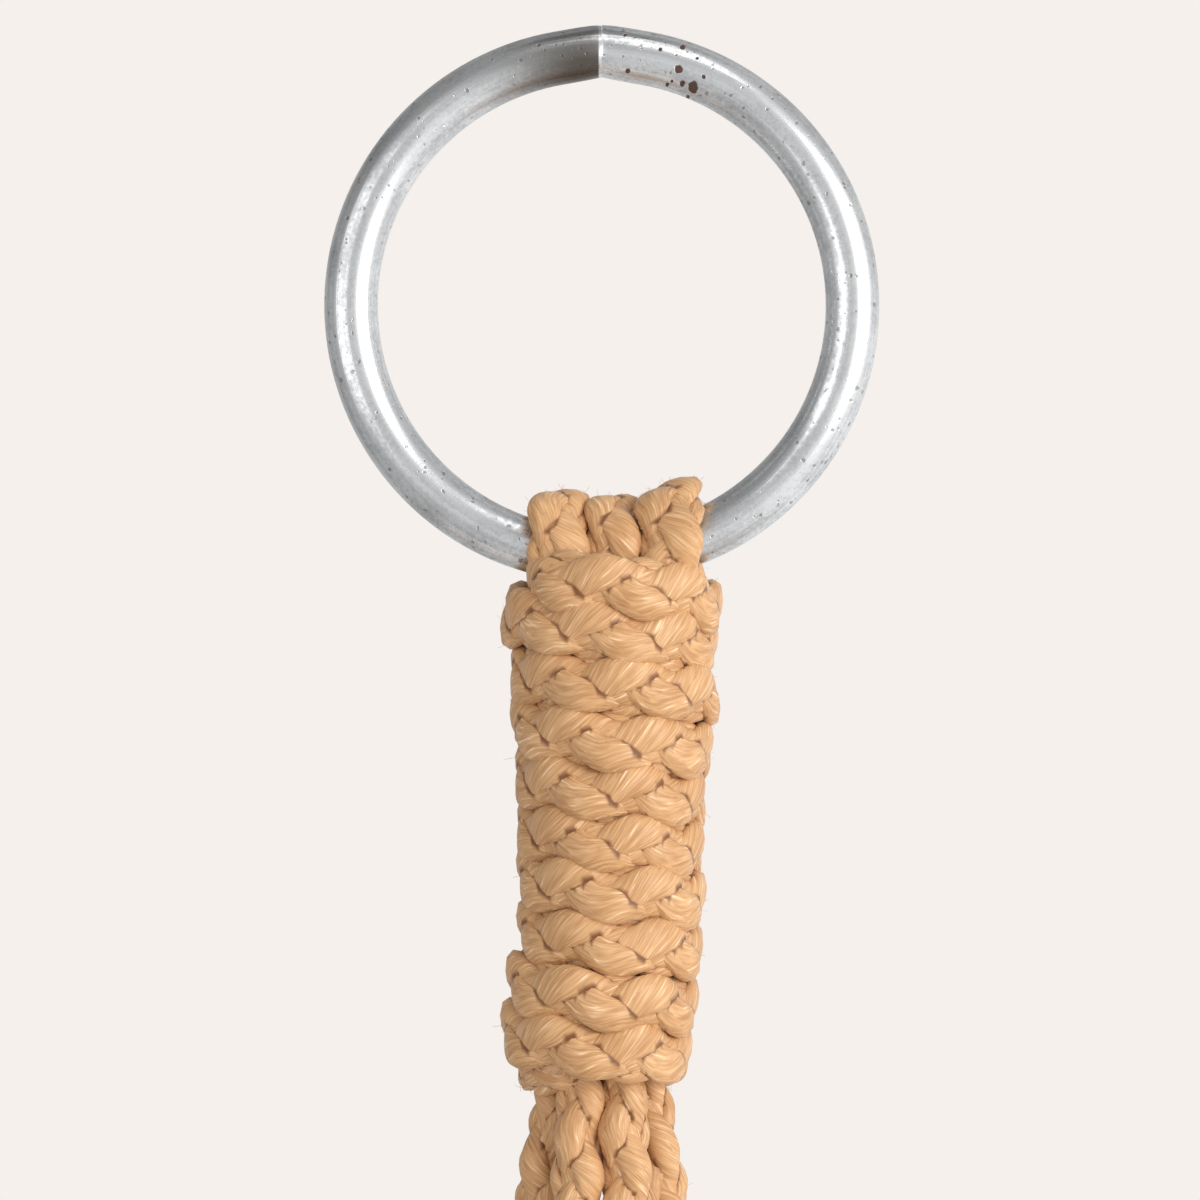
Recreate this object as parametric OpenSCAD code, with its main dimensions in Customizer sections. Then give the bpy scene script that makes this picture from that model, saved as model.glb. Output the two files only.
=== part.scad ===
// Hanging macrame planter: three braided cords folded over a welded steel ring, gathered
// under it by a wrap, knotted into a cradle and gathered again under the pot, with six free
// tails. The origin is where a hook bears, on the inside of the ring at its top. +Z is up,
// and the ring stands in the XZ plane, so the front is -Y.

/* [Ring] */
// Clear width of the ring's hole
ring_bore = 50; // [40:1:80]
// Thickness of the ring's rod
ring_wire = 6; // [4:0.5:8]
// Half of the arc that is straight, either side of the butt weld
weld_half_angle = 10; // [0:1:12]

/* [Cord] */
// Thickness of the braided cord where nothing squeezes it
cord_d = 6; // [5:0.1:8]
// Thickness of a cord where a wrap squeezes it
cord_squeezed = 4.4; // [3.5:0.1:4.6]
// Width of a loop where it bears on the ring
loop_w = 5.8; // [5:0.1:6]
// Thickness of a loop where it bears on the ring
loop_t = 3.4; // [3:0.1:4.5]
// Sideways shift of the three loops from the ring's middle
loop_shift = 1.5; // [-3:0.1:3]

/* [Wraps] */
// Turns of cord in the wrap under the ring
wrap_turns = 10; // [6:1:14]
// Turns of cord in the wrap under the pot
lower_turns = 5; // [3:1:8]
// Height that one turn takes up
wrap_pitch = 5.5; // [5:0.1:7]
// Thickness of the cord that is wound round the legs
wrap_t = 4; // [3:0.1:5]

/* [Hanger] */
// Drop from the upper wrap to the middle of the arm knots
arm_drop = 345; // [250:5:500]
// Drop from the middle of the arm knots to the pot's rim
rim_drop = 36; // [30:1:70]
// Height of the cradle knots over the pot's foot
cradle_rise = 58; // [45:1:80]
// Drop from the pot's foot to the lower wrap
gather_drop = 34; // [28:1:60]
// Thickness of the knots
knot_d = 20; // [17:0.5:24]
// Height of the knots
knot_h = 26; // [20:1:32]
// Thickness of the stopper knots on the tails
stopper_d = 12.5; // [10:0.5:14]
// Height of the stopper knots on the tails
stopper_h = 14; // [10:0.5:18]

/* [Pot] */
// Width over the pot's rim band
pot_rim_d = 152; // [120:1:190]
// Width of the pot's foot
pot_foot_d = 98; // [80:1:110]
// Height of the pot
pot_height = 132; // [110:1:160]
// Height of the rim band
band_h = 26; // [20:1:32]
// How far the rim band stands out from the wall under it
band_step = 4; // [3:0.5:6]
// Thickness of the pot's wall
pot_wall = 6; // [4:0.5:8]
// Width of the drain hole
drain_d = 16; // [8:1:24]

/* [Hidden] */
$fn = 48;

cord_colour = [0.80, 0.58, 0.38];
wrap_colour = [0.72, 0.50, 0.32];
zinc_colour = [0.70, 0.71, 0.70];
clay_colour = [0.74, 0.42, 0.28];

// Clearances
loop_clear = 0.3;   // loop to rod
wrap_gap = 0.8;     // rod to the top of the wrap
cord_clear = 0.2;   // cord to cord
pot_clear = 0.6;    // pot to cord

// Ring
rod_r = ring_wire / 2;
ring_r = ring_bore / 2 + rod_r;
ring_z = -ring_bore / 2 / cos(weld_half_angle);
rod_z = ring_z - ring_r;

// Cord
cord_r = cord_d / 2;
squeezed_r = cord_squeezed / 2;
sides = 8;

// Loops, from left to right
loop_gap = cord_clear;
loop_x = [for (i = [-1:1]) loop_shift + i * (loop_w + loop_gap)];
// How far the rod has risen over its lowest point, at a distance x from the middle
function rod_rise(x) = ring_r - sqrt(ring_r * ring_r - x * x);
// Inner radius of a loop, which clears the curved rod at every angle of swing
function loop_r(i) = rod_r + rod_rise(abs(loop_x[i]) + loop_w / 2) + loop_clear;

// Upper wrap
hex_r = cord_squeezed + cord_clear;               // middle of a squeezed leg
bundle_r = hex_r + squeezed_r;
wrap_top = rod_z - rod_r - wrap_gap;
wrap_bottom = wrap_top - wrap_turns * wrap_pitch;
join_z = wrap_top - wrap_pitch / 2;               // where the loops run on as legs

// Arms stand at these angles, and the cradle knots halfway between them
arm_angle = [-90, 30, 150];
knot_turn = 60;
free_hex_r = cord_d + cord_clear;                 // middle of a leg that is not squeezed
side_by_side = (cord_d + cord_clear) / 2;         // half the spacing of two cords in a pair

// Heights
arm_knot_z = wrap_bottom - arm_drop;
rim_z = arm_knot_z - rim_drop;
foot_z = rim_z - pot_height;
cradle_knot_z = foot_z + cradle_rise;
lower_top = foot_z - gather_drop;
lower_bottom = lower_top - lower_turns * wrap_pitch;

// Pot
rim_r = pot_rim_d / 2;
foot_r = pot_foot_d / 2;
neck_r = rim_r - band_step;
lip_r = 2;
// Radius of the wall at a height z under the rim band
function wall_r(z) = foot_r + (neck_r - foot_r) * (z - foot_z) / (pot_height - band_h);
function off_wall(z) = wall_r(z) + cord_r + pot_clear;
off_rim = rim_r + cord_r + pot_clear;

// A taut arm runs straight from the wrap to the rim, and the knot lies on that line
arm_knot_r = free_hex_r
    + (off_rim - free_hex_r) * (wrap_bottom - arm_knot_z) / (wrap_bottom - rim_z);
cradle_knot_r = wall_r(cradle_knot_z) + knot_d / 2 + pot_clear;

// Tails: how far out, how far round and how far down each point of the route is
tail_route = [
    [0, 0, 0], [2, 0, -15], [3.5, 0, -35], [5, 0.5, -60],
    [6, 1, -90], [6, 0.5, -120], [5, 0, -150], [4, 0, -190],
];
tail_drop = [180, 150, 190, 155, 185, 145];
stub = 9;           // loose end under a stopper knot

// ---- curves and tubes ----

function unit(v) = v / norm(v);
// A point at an angle round the axis, a radius and a height, moved sideways from that radius
function at(angle, r, z, aside = 0) = [
    r * cos(angle) - aside * sin(angle),
    r * sin(angle) + aside * cos(angle),
    z
];
// A smooth curve through the points p, with `per` steps between two of them
function spline(p, per) = [
    for (i = [0:len(p) - 2], s = [0:per - 1])
        let (a = p[max(i - 1, 0)], b = p[i], c = p[i + 1], d = p[min(i + 2, len(p) - 1)],
             t = s / per)
        (2 * b + (c - a) * t + (2 * a - 5 * b + 4 * c - d) * t * t
            + (3 * b - 3 * c + d - a) * t * t * t) / 2,
    p[len(p) - 1]
];
// A point of a route with the radius that the cord has there
function thick(p, r) = [p[0], p[1], p[2], r];
function place(q) = [q[0], q[1], q[2]];
function along(p, i) = unit(place(p[min(i + 1, len(p) - 1)] - p[max(i - 1, 0)]));
// A ring of points round p[i], square to the curve; `across` sets where the first one lies
function collar(p, i, across) =
    let (t = along(p, i), u = unit(cross(t, across)), v = cross(u, t))
    [for (k = [0:sides - 1])
        place(p[i]) + p[i][3] * (cos(360 * k / sides) * u + sin(360 * k / sides) * v)];

// A closed tube along the points p, each of which has the radius there as its fourth value
module tube(p, across) {
    last = len(p) - 1;
    polyhedron(
        points = [for (i = [0:last]) each collar(p, i, across)],
        faces = [
            [for (k = [0:sides - 1]) k],
            for (i = [0:last - 1], k = [0:sides - 1])
                let (a = i * sides + k, b = i * sides + (k + 1) % sides)
                each [[a, a + sides, b + sides], [a, b + sides, b]],
            [for (k = [sides - 1:-1:0]) last * sides + k],
        ]);
}

function ellipse(a, b, n = 20) = [for (k = [0:n - 1]) [a * cos(360 * k / n), b * sin(360 * k / n)]];

// ---- ring ----

// One straight end of the rod, cut square in the ring's mid plane; side is 1 left, -1 right
module rod_end(side) {
    reach = ring_r * tan(weld_half_angle) + rod_r;
    intersection() {
        rotate([0, 0, 90 + side * weld_half_angle]) translate([ring_r, 0, 0])
            rotate([side * 90, 0, 0]) cylinder(h = reach, r = rod_r);
        translate([side > 0 ? -ring_r : 0, 0, -rod_r - 1])
            cube([ring_r, 2 * ring_r, 2 * rod_r + 2]);
    }
}

module ring() {
    color(zinc_colour) translate([0, 0, ring_z]) rotate([90, 0, 0]) {
        rotate([0, 0, 90 + weld_half_angle])
            rotate_extrude(angle = 360 - 2 * weld_half_angle)
                translate([ring_r, 0]) circle(r = rod_r);
        rod_end(1);
        rod_end(-1);
    }
}

// ---- cords at the ring ----

// A cord folded over the rod, with its two legs down to where the arms begin
module loop(i) {
    y = loop_r(i) + loop_t / 2;
    color(cord_colour) translate([loop_x[i], 0, rod_z]) {
        rotate([0, 90, 0]) rotate([0, 0, 90]) rotate_extrude(angle = 180)
            translate([y, 0]) polygon(ellipse(loop_t / 2, loop_w / 2));
        for (s = [-1, 1]) translate([0, s * y, join_z - rod_z])
            linear_extrude(rod_z - join_z) polygon(ellipse(loop_w / 2, loop_t / 2));
    }
}

// A wrap seen from its side: a straight bore and a bulge for each turn
module wrap(turns, bottom) {
    h = turns * wrap_pitch;
    outer = bundle_r + wrap_t;
    color(wrap_colour) translate([0, 0, bottom]) rotate_extrude()
        polygon([
            [bundle_r, 0],
            for (i = [0:turns - 1], a = [-75:30:75])
                [outer - wrap_t / 2 * (1 - cos(a)), (i + 0.5 + sin(a) / 2) * wrap_pitch],
            [bundle_r, h],
        ]);
}

// ---- legs ----

// Each arm holds the cords at hex angles 30 degrees to either side of it
function hex_angle(arm, s) = arm_angle[arm] + s * 30;
// The loop and the side that each leg comes from, by hex angle: 0, 60, 120, 180, 240, 300
leg_loop = [2, 2, 1, 0, 0, 1];
leg_side = [-1, 1, 1, 1, -1, -1];
function leg_start(angle) =
    let (k = round((angle + 360) / 60) % 6, i = leg_loop[k])
    [loop_x[i], leg_side[k] * (loop_r(i) + loop_t / 2), join_z];

module arm(n, s) {
    angle = hex_angle(n, s);
    color(cord_colour) tube([
        thick(leg_start(angle), squeezed_r),
        thick(at(angle, hex_r, wrap_top - 2.5 * wrap_pitch), squeezed_r),
        thick(at(angle, hex_r, wrap_bottom + wrap_pitch), squeezed_r),
        thick(at(angle, free_hex_r, wrap_bottom - cord_d), cord_r),
        thick(at(arm_angle[n], arm_knot_r, arm_knot_z + cord_r, s * side_by_side), cord_r),
    ], at(angle, 1, 0));
}

// A leg of the cradle, from an arm knot over the rim to the cradle knot at its side
module cradle_leg(n, s) {
    angle = arm_angle[n];
    band_bottom = rim_z - band_h;
    p = [
        at(angle, arm_knot_r, arm_knot_z - cord_r, s * side_by_side),
        at(angle + s * 7, (arm_knot_r + 3 * off_rim) / 4, (arm_knot_z + 2 * rim_z) / 3),
        at(angle + s * 16, off_rim, rim_z - lip_r),
        at(angle + s * 29, off_rim, band_bottom),
        at(angle + s * 43, (off_rim + off_wall(cradle_knot_z)) / 2,
            (band_bottom + cradle_knot_z) / 2),
        at(angle + s * knot_turn, cradle_knot_r, cradle_knot_z + cord_r, -s * side_by_side),
    ];
    color(cord_colour)
        tube(spline([for (q = p) thick(q, cord_r)], 3), at(angle + s * 25, 1, 0));
}

// A leg from a cradle knot down the wall, round the foot and in to the lower wrap
module under_leg(n, s) {
    angle = arm_angle[n] + knot_turn;
    hex = angle + s * 30;
    foot_turn = s * asin(side_by_side / foot_r);
    bend_r = lip_r + cord_r + pot_clear;
    p = [
        at(angle, cradle_knot_r, cradle_knot_z - cord_r, s * side_by_side),
        at(angle, off_wall((cradle_knot_z + foot_z) / 2), (cradle_knot_z + foot_z) / 2,
            s * side_by_side),
        for (a = [0:-35:-70])
            at(angle + foot_turn, foot_r - lip_r + bend_r * cos(a),
                foot_z + lip_r + bend_r * sin(a)),
        at(angle + s * 14, (foot_r + free_hex_r) / 2, foot_z - gather_drop / 2),
        at(hex, free_hex_r + cord_r, lower_top + cord_r),
    ];
    color(cord_colour) tube(spline([
        for (q = p) thick(q, cord_r),
        thick(at(hex, hex_r, lower_top - wrap_pitch / 2), squeezed_r),
        thick(at(hex, hex_r, lower_bottom), squeezed_r),
    ], 3), [-sin(angle), cos(angle), 0]);
}

// ---- knots ----

// A knot as a barrel with rounded shoulders
module knot(d, h) {
    rotate_extrude() polygon([
        [0, -h / 2],
        for (a = [-80:20:80]) [d * (0.18 + 0.32 * cos(a)), h / 2 * sin(a) / sin(80)],
        [0, h / 2],
    ]);
}

module arm_knot(n) {
    color(cord_colour) translate(at(arm_angle[n], arm_knot_r, arm_knot_z)) knot(knot_d, knot_h);
}

module cradle_knot(n) {
    color(cord_colour)
        translate(at(arm_angle[n] + knot_turn, cradle_knot_r, cradle_knot_z))
            knot(knot_d, knot_h);
}

// ---- tails ----

// The points of a tail's route that it reaches, and then its own end
function tail_points(n) =
    let (reached = [for (q = tail_route) if (-q[2] < tail_drop[n - 1]) q],
         end = [reached[len(reached) - 1][0], 0, -tail_drop[n - 1]])
    [each reached, end];
// The route is drawn for a cord 1.6 mm thicker than its squeezed part, and widens for a thicker one
function tail_out(q) = hex_r + q[0] + min(1, q[0] / 2) * (cord_d - cord_squeezed - 1.6);
function tail_point(n, q) = at(60 * n, tail_out(q), lower_bottom + q[2], q[1]);

module tail(n) {
    color(cord_colour)
        tube(spline([for (q = tail_points(n))
            thick(tail_point(n, q), q[2] == 0 ? squeezed_r : cord_r)], 2),
            at(60 * n, 1, 0));
}

module tail_knot(n) {
    end = tail_points(n)[len(tail_points(n)) - 1];
    color(cord_colour) translate(tail_point(n, end) - [0, 0, stopper_h / 2]) {
        knot(stopper_d, stopper_h);
        translate([0, 0, -stopper_h / 2 - stub]) cylinder(h = stub + 1, r = cord_r);
    }
}

// ---- pot ----

module pot() {
    mouth_r = rim_r - pot_wall;
    inner_foot_r = foot_r - pot_wall;
    color(clay_colour) difference() {
        translate([0, 0, foot_z]) rotate_extrude() polygon([
            [0, 0],
            [foot_r - lip_r, 0],
            for (a = [-90:30:0]) [foot_r - lip_r + lip_r * cos(a), lip_r + lip_r * sin(a)],
            [neck_r, pot_height - band_h],
            for (a = [-90:30:90])
                [rim_r - lip_r + lip_r * cos(a),
                 (a < 0 ? pot_height - band_h + lip_r : pot_height - lip_r) + lip_r * sin(a)],
            [mouth_r, pot_height],
            [neck_r - pot_wall, pot_height - band_h],
            [inner_foot_r, pot_wall],
            [0, pot_wall],
        ]);
        translate([0, 0, foot_z - 1]) cylinder(h = pot_wall + 2, r = drain_d / 2);
    }
}

ring();
loop(0);  // loop_left
loop(1);  // loop_middle
loop(2);  // loop_right
wrap(wrap_turns, wrap_bottom);  // top_wrap
arm(0, -1);  // arm_1a
arm(0, 1);  // arm_1b
arm(1, -1);  // arm_2a
arm(1, 1);  // arm_2b
arm(2, -1);  // arm_3a
arm(2, 1);  // arm_3b
arm_knot(0);  // arm_knot_1
arm_knot(1);  // arm_knot_2
arm_knot(2);  // arm_knot_3
cradle_leg(0, -1);  // cradle_leg_1a
cradle_leg(0, 1);  // cradle_leg_1b
cradle_leg(1, -1);  // cradle_leg_2a
cradle_leg(1, 1);  // cradle_leg_2b
cradle_leg(2, -1);  // cradle_leg_3a
cradle_leg(2, 1);  // cradle_leg_3b
cradle_knot(0);  // cradle_knot_1
cradle_knot(1);  // cradle_knot_2
cradle_knot(2);  // cradle_knot_3
under_leg(0, -1);  // under_leg_1a
under_leg(0, 1);  // under_leg_1b
under_leg(1, -1);  // under_leg_2a
under_leg(1, 1);  // under_leg_2b
under_leg(2, -1);  // under_leg_3a
under_leg(2, 1);  // under_leg_3b
wrap(lower_turns, lower_bottom);  // lower_wrap
tail(1);  // tail_1
tail(2);  // tail_2
tail(3);  // tail_3
tail(4);  // tail_4
tail(5);  // tail_5
tail(6);  // tail_6
tail_knot(1);  // tail_knot_1
tail_knot(2);  // tail_knot_2
tail_knot(3);  // tail_knot_3
tail_knot(4);  // tail_knot_4
tail_knot(5);  // tail_knot_5
tail_knot(6);  // tail_knot_6
pot();
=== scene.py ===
"""Hanging macrame planter: the finished look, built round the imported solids.

Three braided cords are folded over a welded steel ring. Each cord is one route from the end
of one tail, up through the knots and the wraps, over the ring and down to the end of another
tail, so that its braid runs on unbroken from piece to piece. Lengths are in metres.
"""
from __future__ import annotations

import logging
import math
from dataclasses import dataclass, field
from enum import Enum
from typing import Any, Callable, Iterable, Sequence

import bpy
import numpy as np
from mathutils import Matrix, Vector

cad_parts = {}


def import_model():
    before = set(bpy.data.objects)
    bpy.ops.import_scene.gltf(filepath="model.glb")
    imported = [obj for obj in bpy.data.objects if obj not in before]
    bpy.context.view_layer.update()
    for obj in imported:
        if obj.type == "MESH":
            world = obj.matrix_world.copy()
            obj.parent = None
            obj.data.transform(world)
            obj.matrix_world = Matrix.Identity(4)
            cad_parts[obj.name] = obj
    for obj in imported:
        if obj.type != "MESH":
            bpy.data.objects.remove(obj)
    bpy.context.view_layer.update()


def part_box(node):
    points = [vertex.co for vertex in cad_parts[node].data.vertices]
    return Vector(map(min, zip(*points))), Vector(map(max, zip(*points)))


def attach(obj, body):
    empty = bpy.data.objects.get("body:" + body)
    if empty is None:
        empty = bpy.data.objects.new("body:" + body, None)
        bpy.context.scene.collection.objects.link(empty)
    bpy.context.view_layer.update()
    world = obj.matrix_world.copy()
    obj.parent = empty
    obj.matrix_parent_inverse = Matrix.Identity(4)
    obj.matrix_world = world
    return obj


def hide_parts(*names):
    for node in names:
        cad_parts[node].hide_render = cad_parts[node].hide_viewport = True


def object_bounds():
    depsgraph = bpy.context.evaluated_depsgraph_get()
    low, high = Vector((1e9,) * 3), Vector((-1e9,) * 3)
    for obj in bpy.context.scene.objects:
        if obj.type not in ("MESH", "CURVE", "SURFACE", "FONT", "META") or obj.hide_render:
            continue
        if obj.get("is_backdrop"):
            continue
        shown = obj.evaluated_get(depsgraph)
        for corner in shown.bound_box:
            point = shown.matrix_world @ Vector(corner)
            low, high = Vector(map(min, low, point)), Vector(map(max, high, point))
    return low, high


MM = 0.001
LOG = logging.getLogger("planter")
UP = np.array([0.0, 0.0, 1.0])

# ---- the cord's route under the lower wrap, as the design has it ----

# How far out, how far round and how far down each point of a tail's route is
TAIL_ROUTE = (
    (0, 0, 0), (2, 0, -15), (3.5, 0, -35), (5, 0.5, -60),
    (6, 1, -90), (6, 0.5, -120), (5, 0, -150), (4, 0, -190),
)
TAIL_DROP = (180, 150, 190, 155, 185, 145)
TAIL_HEX_R = 4.6 * MM
TAIL_LOOSE_END = 9 * MM
# The route's points end this far, in millimetres, above the bottom of the tail
TAIL_FREE = 22

# Strands in a cord: those numbered higher are its core
STRANDS = 4


class Side(Enum):
    """Which half of a pair of cords a leg is, seen along its arm from outside."""

    A = -1
    B = 1


class Fineness(Enum):
    """How finely a stretch of braid is meshed: the step along it and the sides of a strand."""

    CLOSE = (0.55 * MM, 16)
    PLAIN = (0.95 * MM, 12)


def unit(v: np.ndarray) -> np.ndarray:
    """Vectors scaled to length 1, along the last axis."""
    return v / np.maximum(np.linalg.norm(v, axis=-1, keepdims=True), 1e-12)


def at(angle: float, r: float, z: float, aside: float = 0.0) -> np.ndarray:
    """A point round the hanger's axis.

    Args:
        angle: Angle round +Z from +X, in degrees.
        r: Distance from the axis.
        z: Height.
        aside: Shift at right angles to the radius, anticlockwise.

    Returns:
        The point.
    """
    c, s = math.cos(math.radians(angle)), math.sin(math.radians(angle))
    return np.array([r * c - aside * s, r * s + aside * c, z])


def smooth_curve(points: np.ndarray, step: float) -> tuple[np.ndarray, np.ndarray]:
    """A smooth curve through points, sampled at an even step.

    Args:
        points: Points that the curve passes through.
        step: Distance between two samples.

    Returns:
        The samples, and the distance along the curve at which it passes each point.
    """
    gaps = np.sqrt(np.linalg.norm(np.diff(points, axis=0), axis=1))
    knots = np.concatenate([[0], np.cumsum(gaps)])
    padded = np.vstack([2 * points[0] - points[1], points, 2 * points[-1] - points[-2]])
    t_pad = np.concatenate([[-gaps[0]], knots, [knots[-1] + gaps[-1]]])
    dense, marks = [], [0]
    for i in range(len(points) - 1):
        p0, p1, p2, p3 = padded[i:i + 4]
        t0, t1, t2, t3 = t_pad[i:i + 4]
        count = max(8, int(np.linalg.norm(p2 - p1) / MM))
        t = np.linspace(t1, t2, count, endpoint=False)[:, None]
        a1 = (t1 - t) / (t1 - t0) * p0 + (t - t0) / (t1 - t0) * p1
        a2 = (t2 - t) / (t2 - t1) * p1 + (t - t1) / (t2 - t1) * p2
        a3 = (t3 - t) / (t3 - t2) * p2 + (t - t2) / (t3 - t2) * p3
        b1 = (t2 - t) / (t2 - t0) * a1 + (t - t0) / (t2 - t0) * a2
        b2 = (t3 - t) / (t3 - t1) * a2 + (t - t1) / (t3 - t1) * a3
        dense.append((t2 - t) / (t2 - t1) * b1 + (t - t1) / (t2 - t1) * b2)
        marks.append(marks[-1] + count)
    dense = np.vstack(dense + [points[-1:]])
    samples, _, along = resampled(dense, lambda total: max(8, int(round(total / step)) + 1))
    return samples, along[np.array(marks)]


def resampled(points: np.ndarray, count: Callable[[float], int],
              *others: np.ndarray) -> tuple[np.ndarray, ...]:
    """Points spread evenly along the line through them.

    Args:
        points: The line's points.
        count: Gives the number of samples for the line's length.
        *others: Values that go with the points.

    Returns:
        The samples, the distance along the line at each sample and at each point, and the
        other values at each sample.
    """
    along = np.concatenate([[0], np.cumsum(np.linalg.norm(np.diff(points, axis=0), axis=1))])
    s = np.linspace(0, along[-1], count(along[-1]))
    samples = np.stack([np.interp(s, along, points[:, k]) for k in range(3)], axis=1)
    return (samples, s, along, *(np.interp(s, along, values) for values in others))


def softened(points: np.ndarray, reach: int) -> np.ndarray:
    """Points averaged with their neighbours, so that a route has no sudden bends.

    Args:
        points: Evenly spaced samples.
        reach: How many samples to each side count. The two ends stay where they are.

    Returns:
        The averaged samples.
    """
    weights = np.hanning(2 * reach + 3)[1:-1]
    weights /= weights.sum()
    ahead = 2 * points[0] - points[reach:0:-1]
    behind = 2 * points[-1] - points[-2:-reach - 2:-1]
    padded = np.vstack([ahead, points, behind])
    return np.stack([np.convolve(padded[:, k], weights, "valid") for k in range(3)], axis=1)


def carried(points: np.ndarray, first: np.ndarray) -> np.ndarray:
    """A direction carried along a curve without twisting.

    Args:
        points: Samples of the curve.
        first: The direction wanted at the first sample.

    Returns:
        A unit vector square to the curve at each sample.
    """
    tangents = unit(np.gradient(points, axis=0))
    out = np.empty_like(points)
    v = first - tangents[0] * np.dot(first, tangents[0])
    for i, t in enumerate(tangents):
        v = unit(v - t * np.dot(v, t))
        out[i] = v
    return out


# ---- materials ----

Colour = tuple[float, float, float]


class Tree:
    """Adds nodes to a shader tree, so that each finish reads as a short list."""

    def __init__(self, tree: bpy.types.NodeTree) -> None:
        """Starts on a node tree."""
        self.tree = tree

    def feed(self, node: Any, inputs: dict[Any, Any]) -> None:
        """Gives values or sockets to a node's inputs, by name or by number."""
        for key, value in inputs.items():
            if isinstance(value, bpy.types.NodeSocket):
                self.tree.links.new(value, node.inputs[key])
            else:
                node.inputs[key].default_value = value

    def add(self, kind: str, inputs: dict[Any, Any] | None = None, **settings: Any) -> Any:
        """Adds a node.

        Args:
            kind: The node's type, without the ShaderNode in front.
            inputs: Values or sockets to give to its inputs, by name or by number.
            **settings: Properties of the node.

        Returns:
            The node's outputs.
        """
        node = self.tree.nodes.new("ShaderNode" + kind)
        for name, value in settings.items():
            setattr(node, name, value)
        self.feed(node, inputs or {})
        return node.outputs

    def math(self, operation: str, a: Any, b: Any) -> Any:
        """A Math node's output, from two values or sockets."""
        return self.add("Math", {0: a, 1: b}, operation=operation)[0]

    def times(self, a: Any, b: Any) -> Any:
        """One value times another."""
        return self.math("MULTIPLY", a, b)

    def weighted(self, *parts: tuple[Any, float]) -> Any:
        """The sum of some values, each times its share."""
        total = self.times(*parts[0])
        for value, share in parts[1:]:
            total = self.math("ADD", total, self.times(value, share))
        return total

    def split(self, vector: Any) -> list[Any]:
        """A vector's three values."""
        return list(self.add("SeparateXYZ", {0: vector}))

    def vector(self, x: Any, y: Any, z: Any) -> Any:
        """A vector of three values."""
        return self.add("CombineXYZ", {0: x, 1: y, 2: z})[0]

    def vectors(self, operation: str, a: Any, b: Any = (0, 0, 0)) -> Any:
        """A Vector Math node's outputs, from two vectors."""
        return self.add("VectorMath", {0: a, 1: b}, operation=operation)

    def noise(self, place: Any, scale: Any, detail: float, roughness: float = 0.5) -> Any:
        """A noise from 0 to 1."""
        return self.add("TexNoise", {"Vector": place, "Scale": scale, "Detail": detail,
                                     "Roughness": roughness})[0]

    def ramp(self, value: Any, low: Any, high: Any, start: float = 0.0,
             end: float = 1.0) -> Any:
        """A value turned smoothly from start to end while it goes from low to high."""
        return self.add("MapRange", {0: value, 1: low, 2: high, 3: start, 4: end},
                        interpolation_type="SMOOTHSTEP")[0]

    def mix(self, factor: Any, a: Any, b: Any) -> Any:
        """A mix of two colours, each a socket or a tuple."""
        a, b = ((*colour, 1) if isinstance(colour, tuple) else colour for colour in (a, b))
        return self.add("Mix", {0: factor, 6: a, 7: b}, data_type="RGBA")[2]

    def bump(self, strength: float, distance: float, height: Any) -> Any:
        """A surface direction from a height."""
        return self.add("Bump", {"Strength": strength, "Distance": distance,
                                 "Height": height})[0]


def new_group(name: str, values: dict[str, float],
              gives: Sequence[str]) -> tuple[bpy.types.NodeTree, Tree, Any, Any]:
    """Starts a node group that takes a vector and some values.

    Args:
        name: The group's name.
        values: What each value is where none is given.
        gives: Names of the values that the group gives.

    Returns:
        The group, a Tree on it, the sockets of what it takes and the node for what it gives.
    """
    group = bpy.data.node_groups.new(name, "ShaderNodeTree")
    group.interface.new_socket("Vector", in_out="INPUT", socket_type="NodeSocketVector")
    for key, value in values.items():
        group.interface.new_socket(key, in_out="INPUT",
                                   socket_type="NodeSocketFloat").default_value = value
    for key in gives:
        group.interface.new_socket(key, in_out="OUTPUT", socket_type="NodeSocketFloat")
    source = group.nodes.new("NodeGroupInput")
    return group, Tree(group), source.outputs, group.nodes.new("NodeGroupOutput")


def new_finish(name: str) -> tuple[bpy.types.Material, Tree, Any]:
    """Starts a material: the material itself, a Tree on it, and its shader."""
    material = bpy.data.materials.new(name)
    material.use_nodes = True
    tree = Tree(material.node_tree)
    return material, tree, material.node_tree.nodes["Principled BSDF"]


def filament_group() -> bpy.types.NodeTree:
    """The fine filaments along a strand.

    Returns:
        A group that turns a strand's UV, in metres, into a shade from 0 to 1 and a height.
    """
    group, tree, given, sink = new_group(
        "filaments", {"Along": 520.0, "Across": 7000.0, "Slant": 0.4}, ("Shade", "Height"))
    u, v, number = tree.split(given["Vector"])
    slanted = tree.math("ADD", v, tree.times(u, given["Slant"]))

    def streaks(share: float, detail: float, depth: float) -> Any:
        """A streaky noise, at a share of the group's fineness."""
        place = tree.vector(tree.times(u, tree.times(given["Along"], share)),
                            tree.times(slanted, tree.times(given["Across"], share)),
                            tree.times(number, depth))
        return tree.noise(place, 1.0, detail, 0.6)

    both = tree.weighted((streaks(1.0, 1.0, 900.0), 0.5), (streaks(0.42, 2.0, 70.0), 0.5))
    tree.feed(sink, {"Shade": tree.ramp(both, 0.34, 0.68), "Height": both})
    return group


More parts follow.
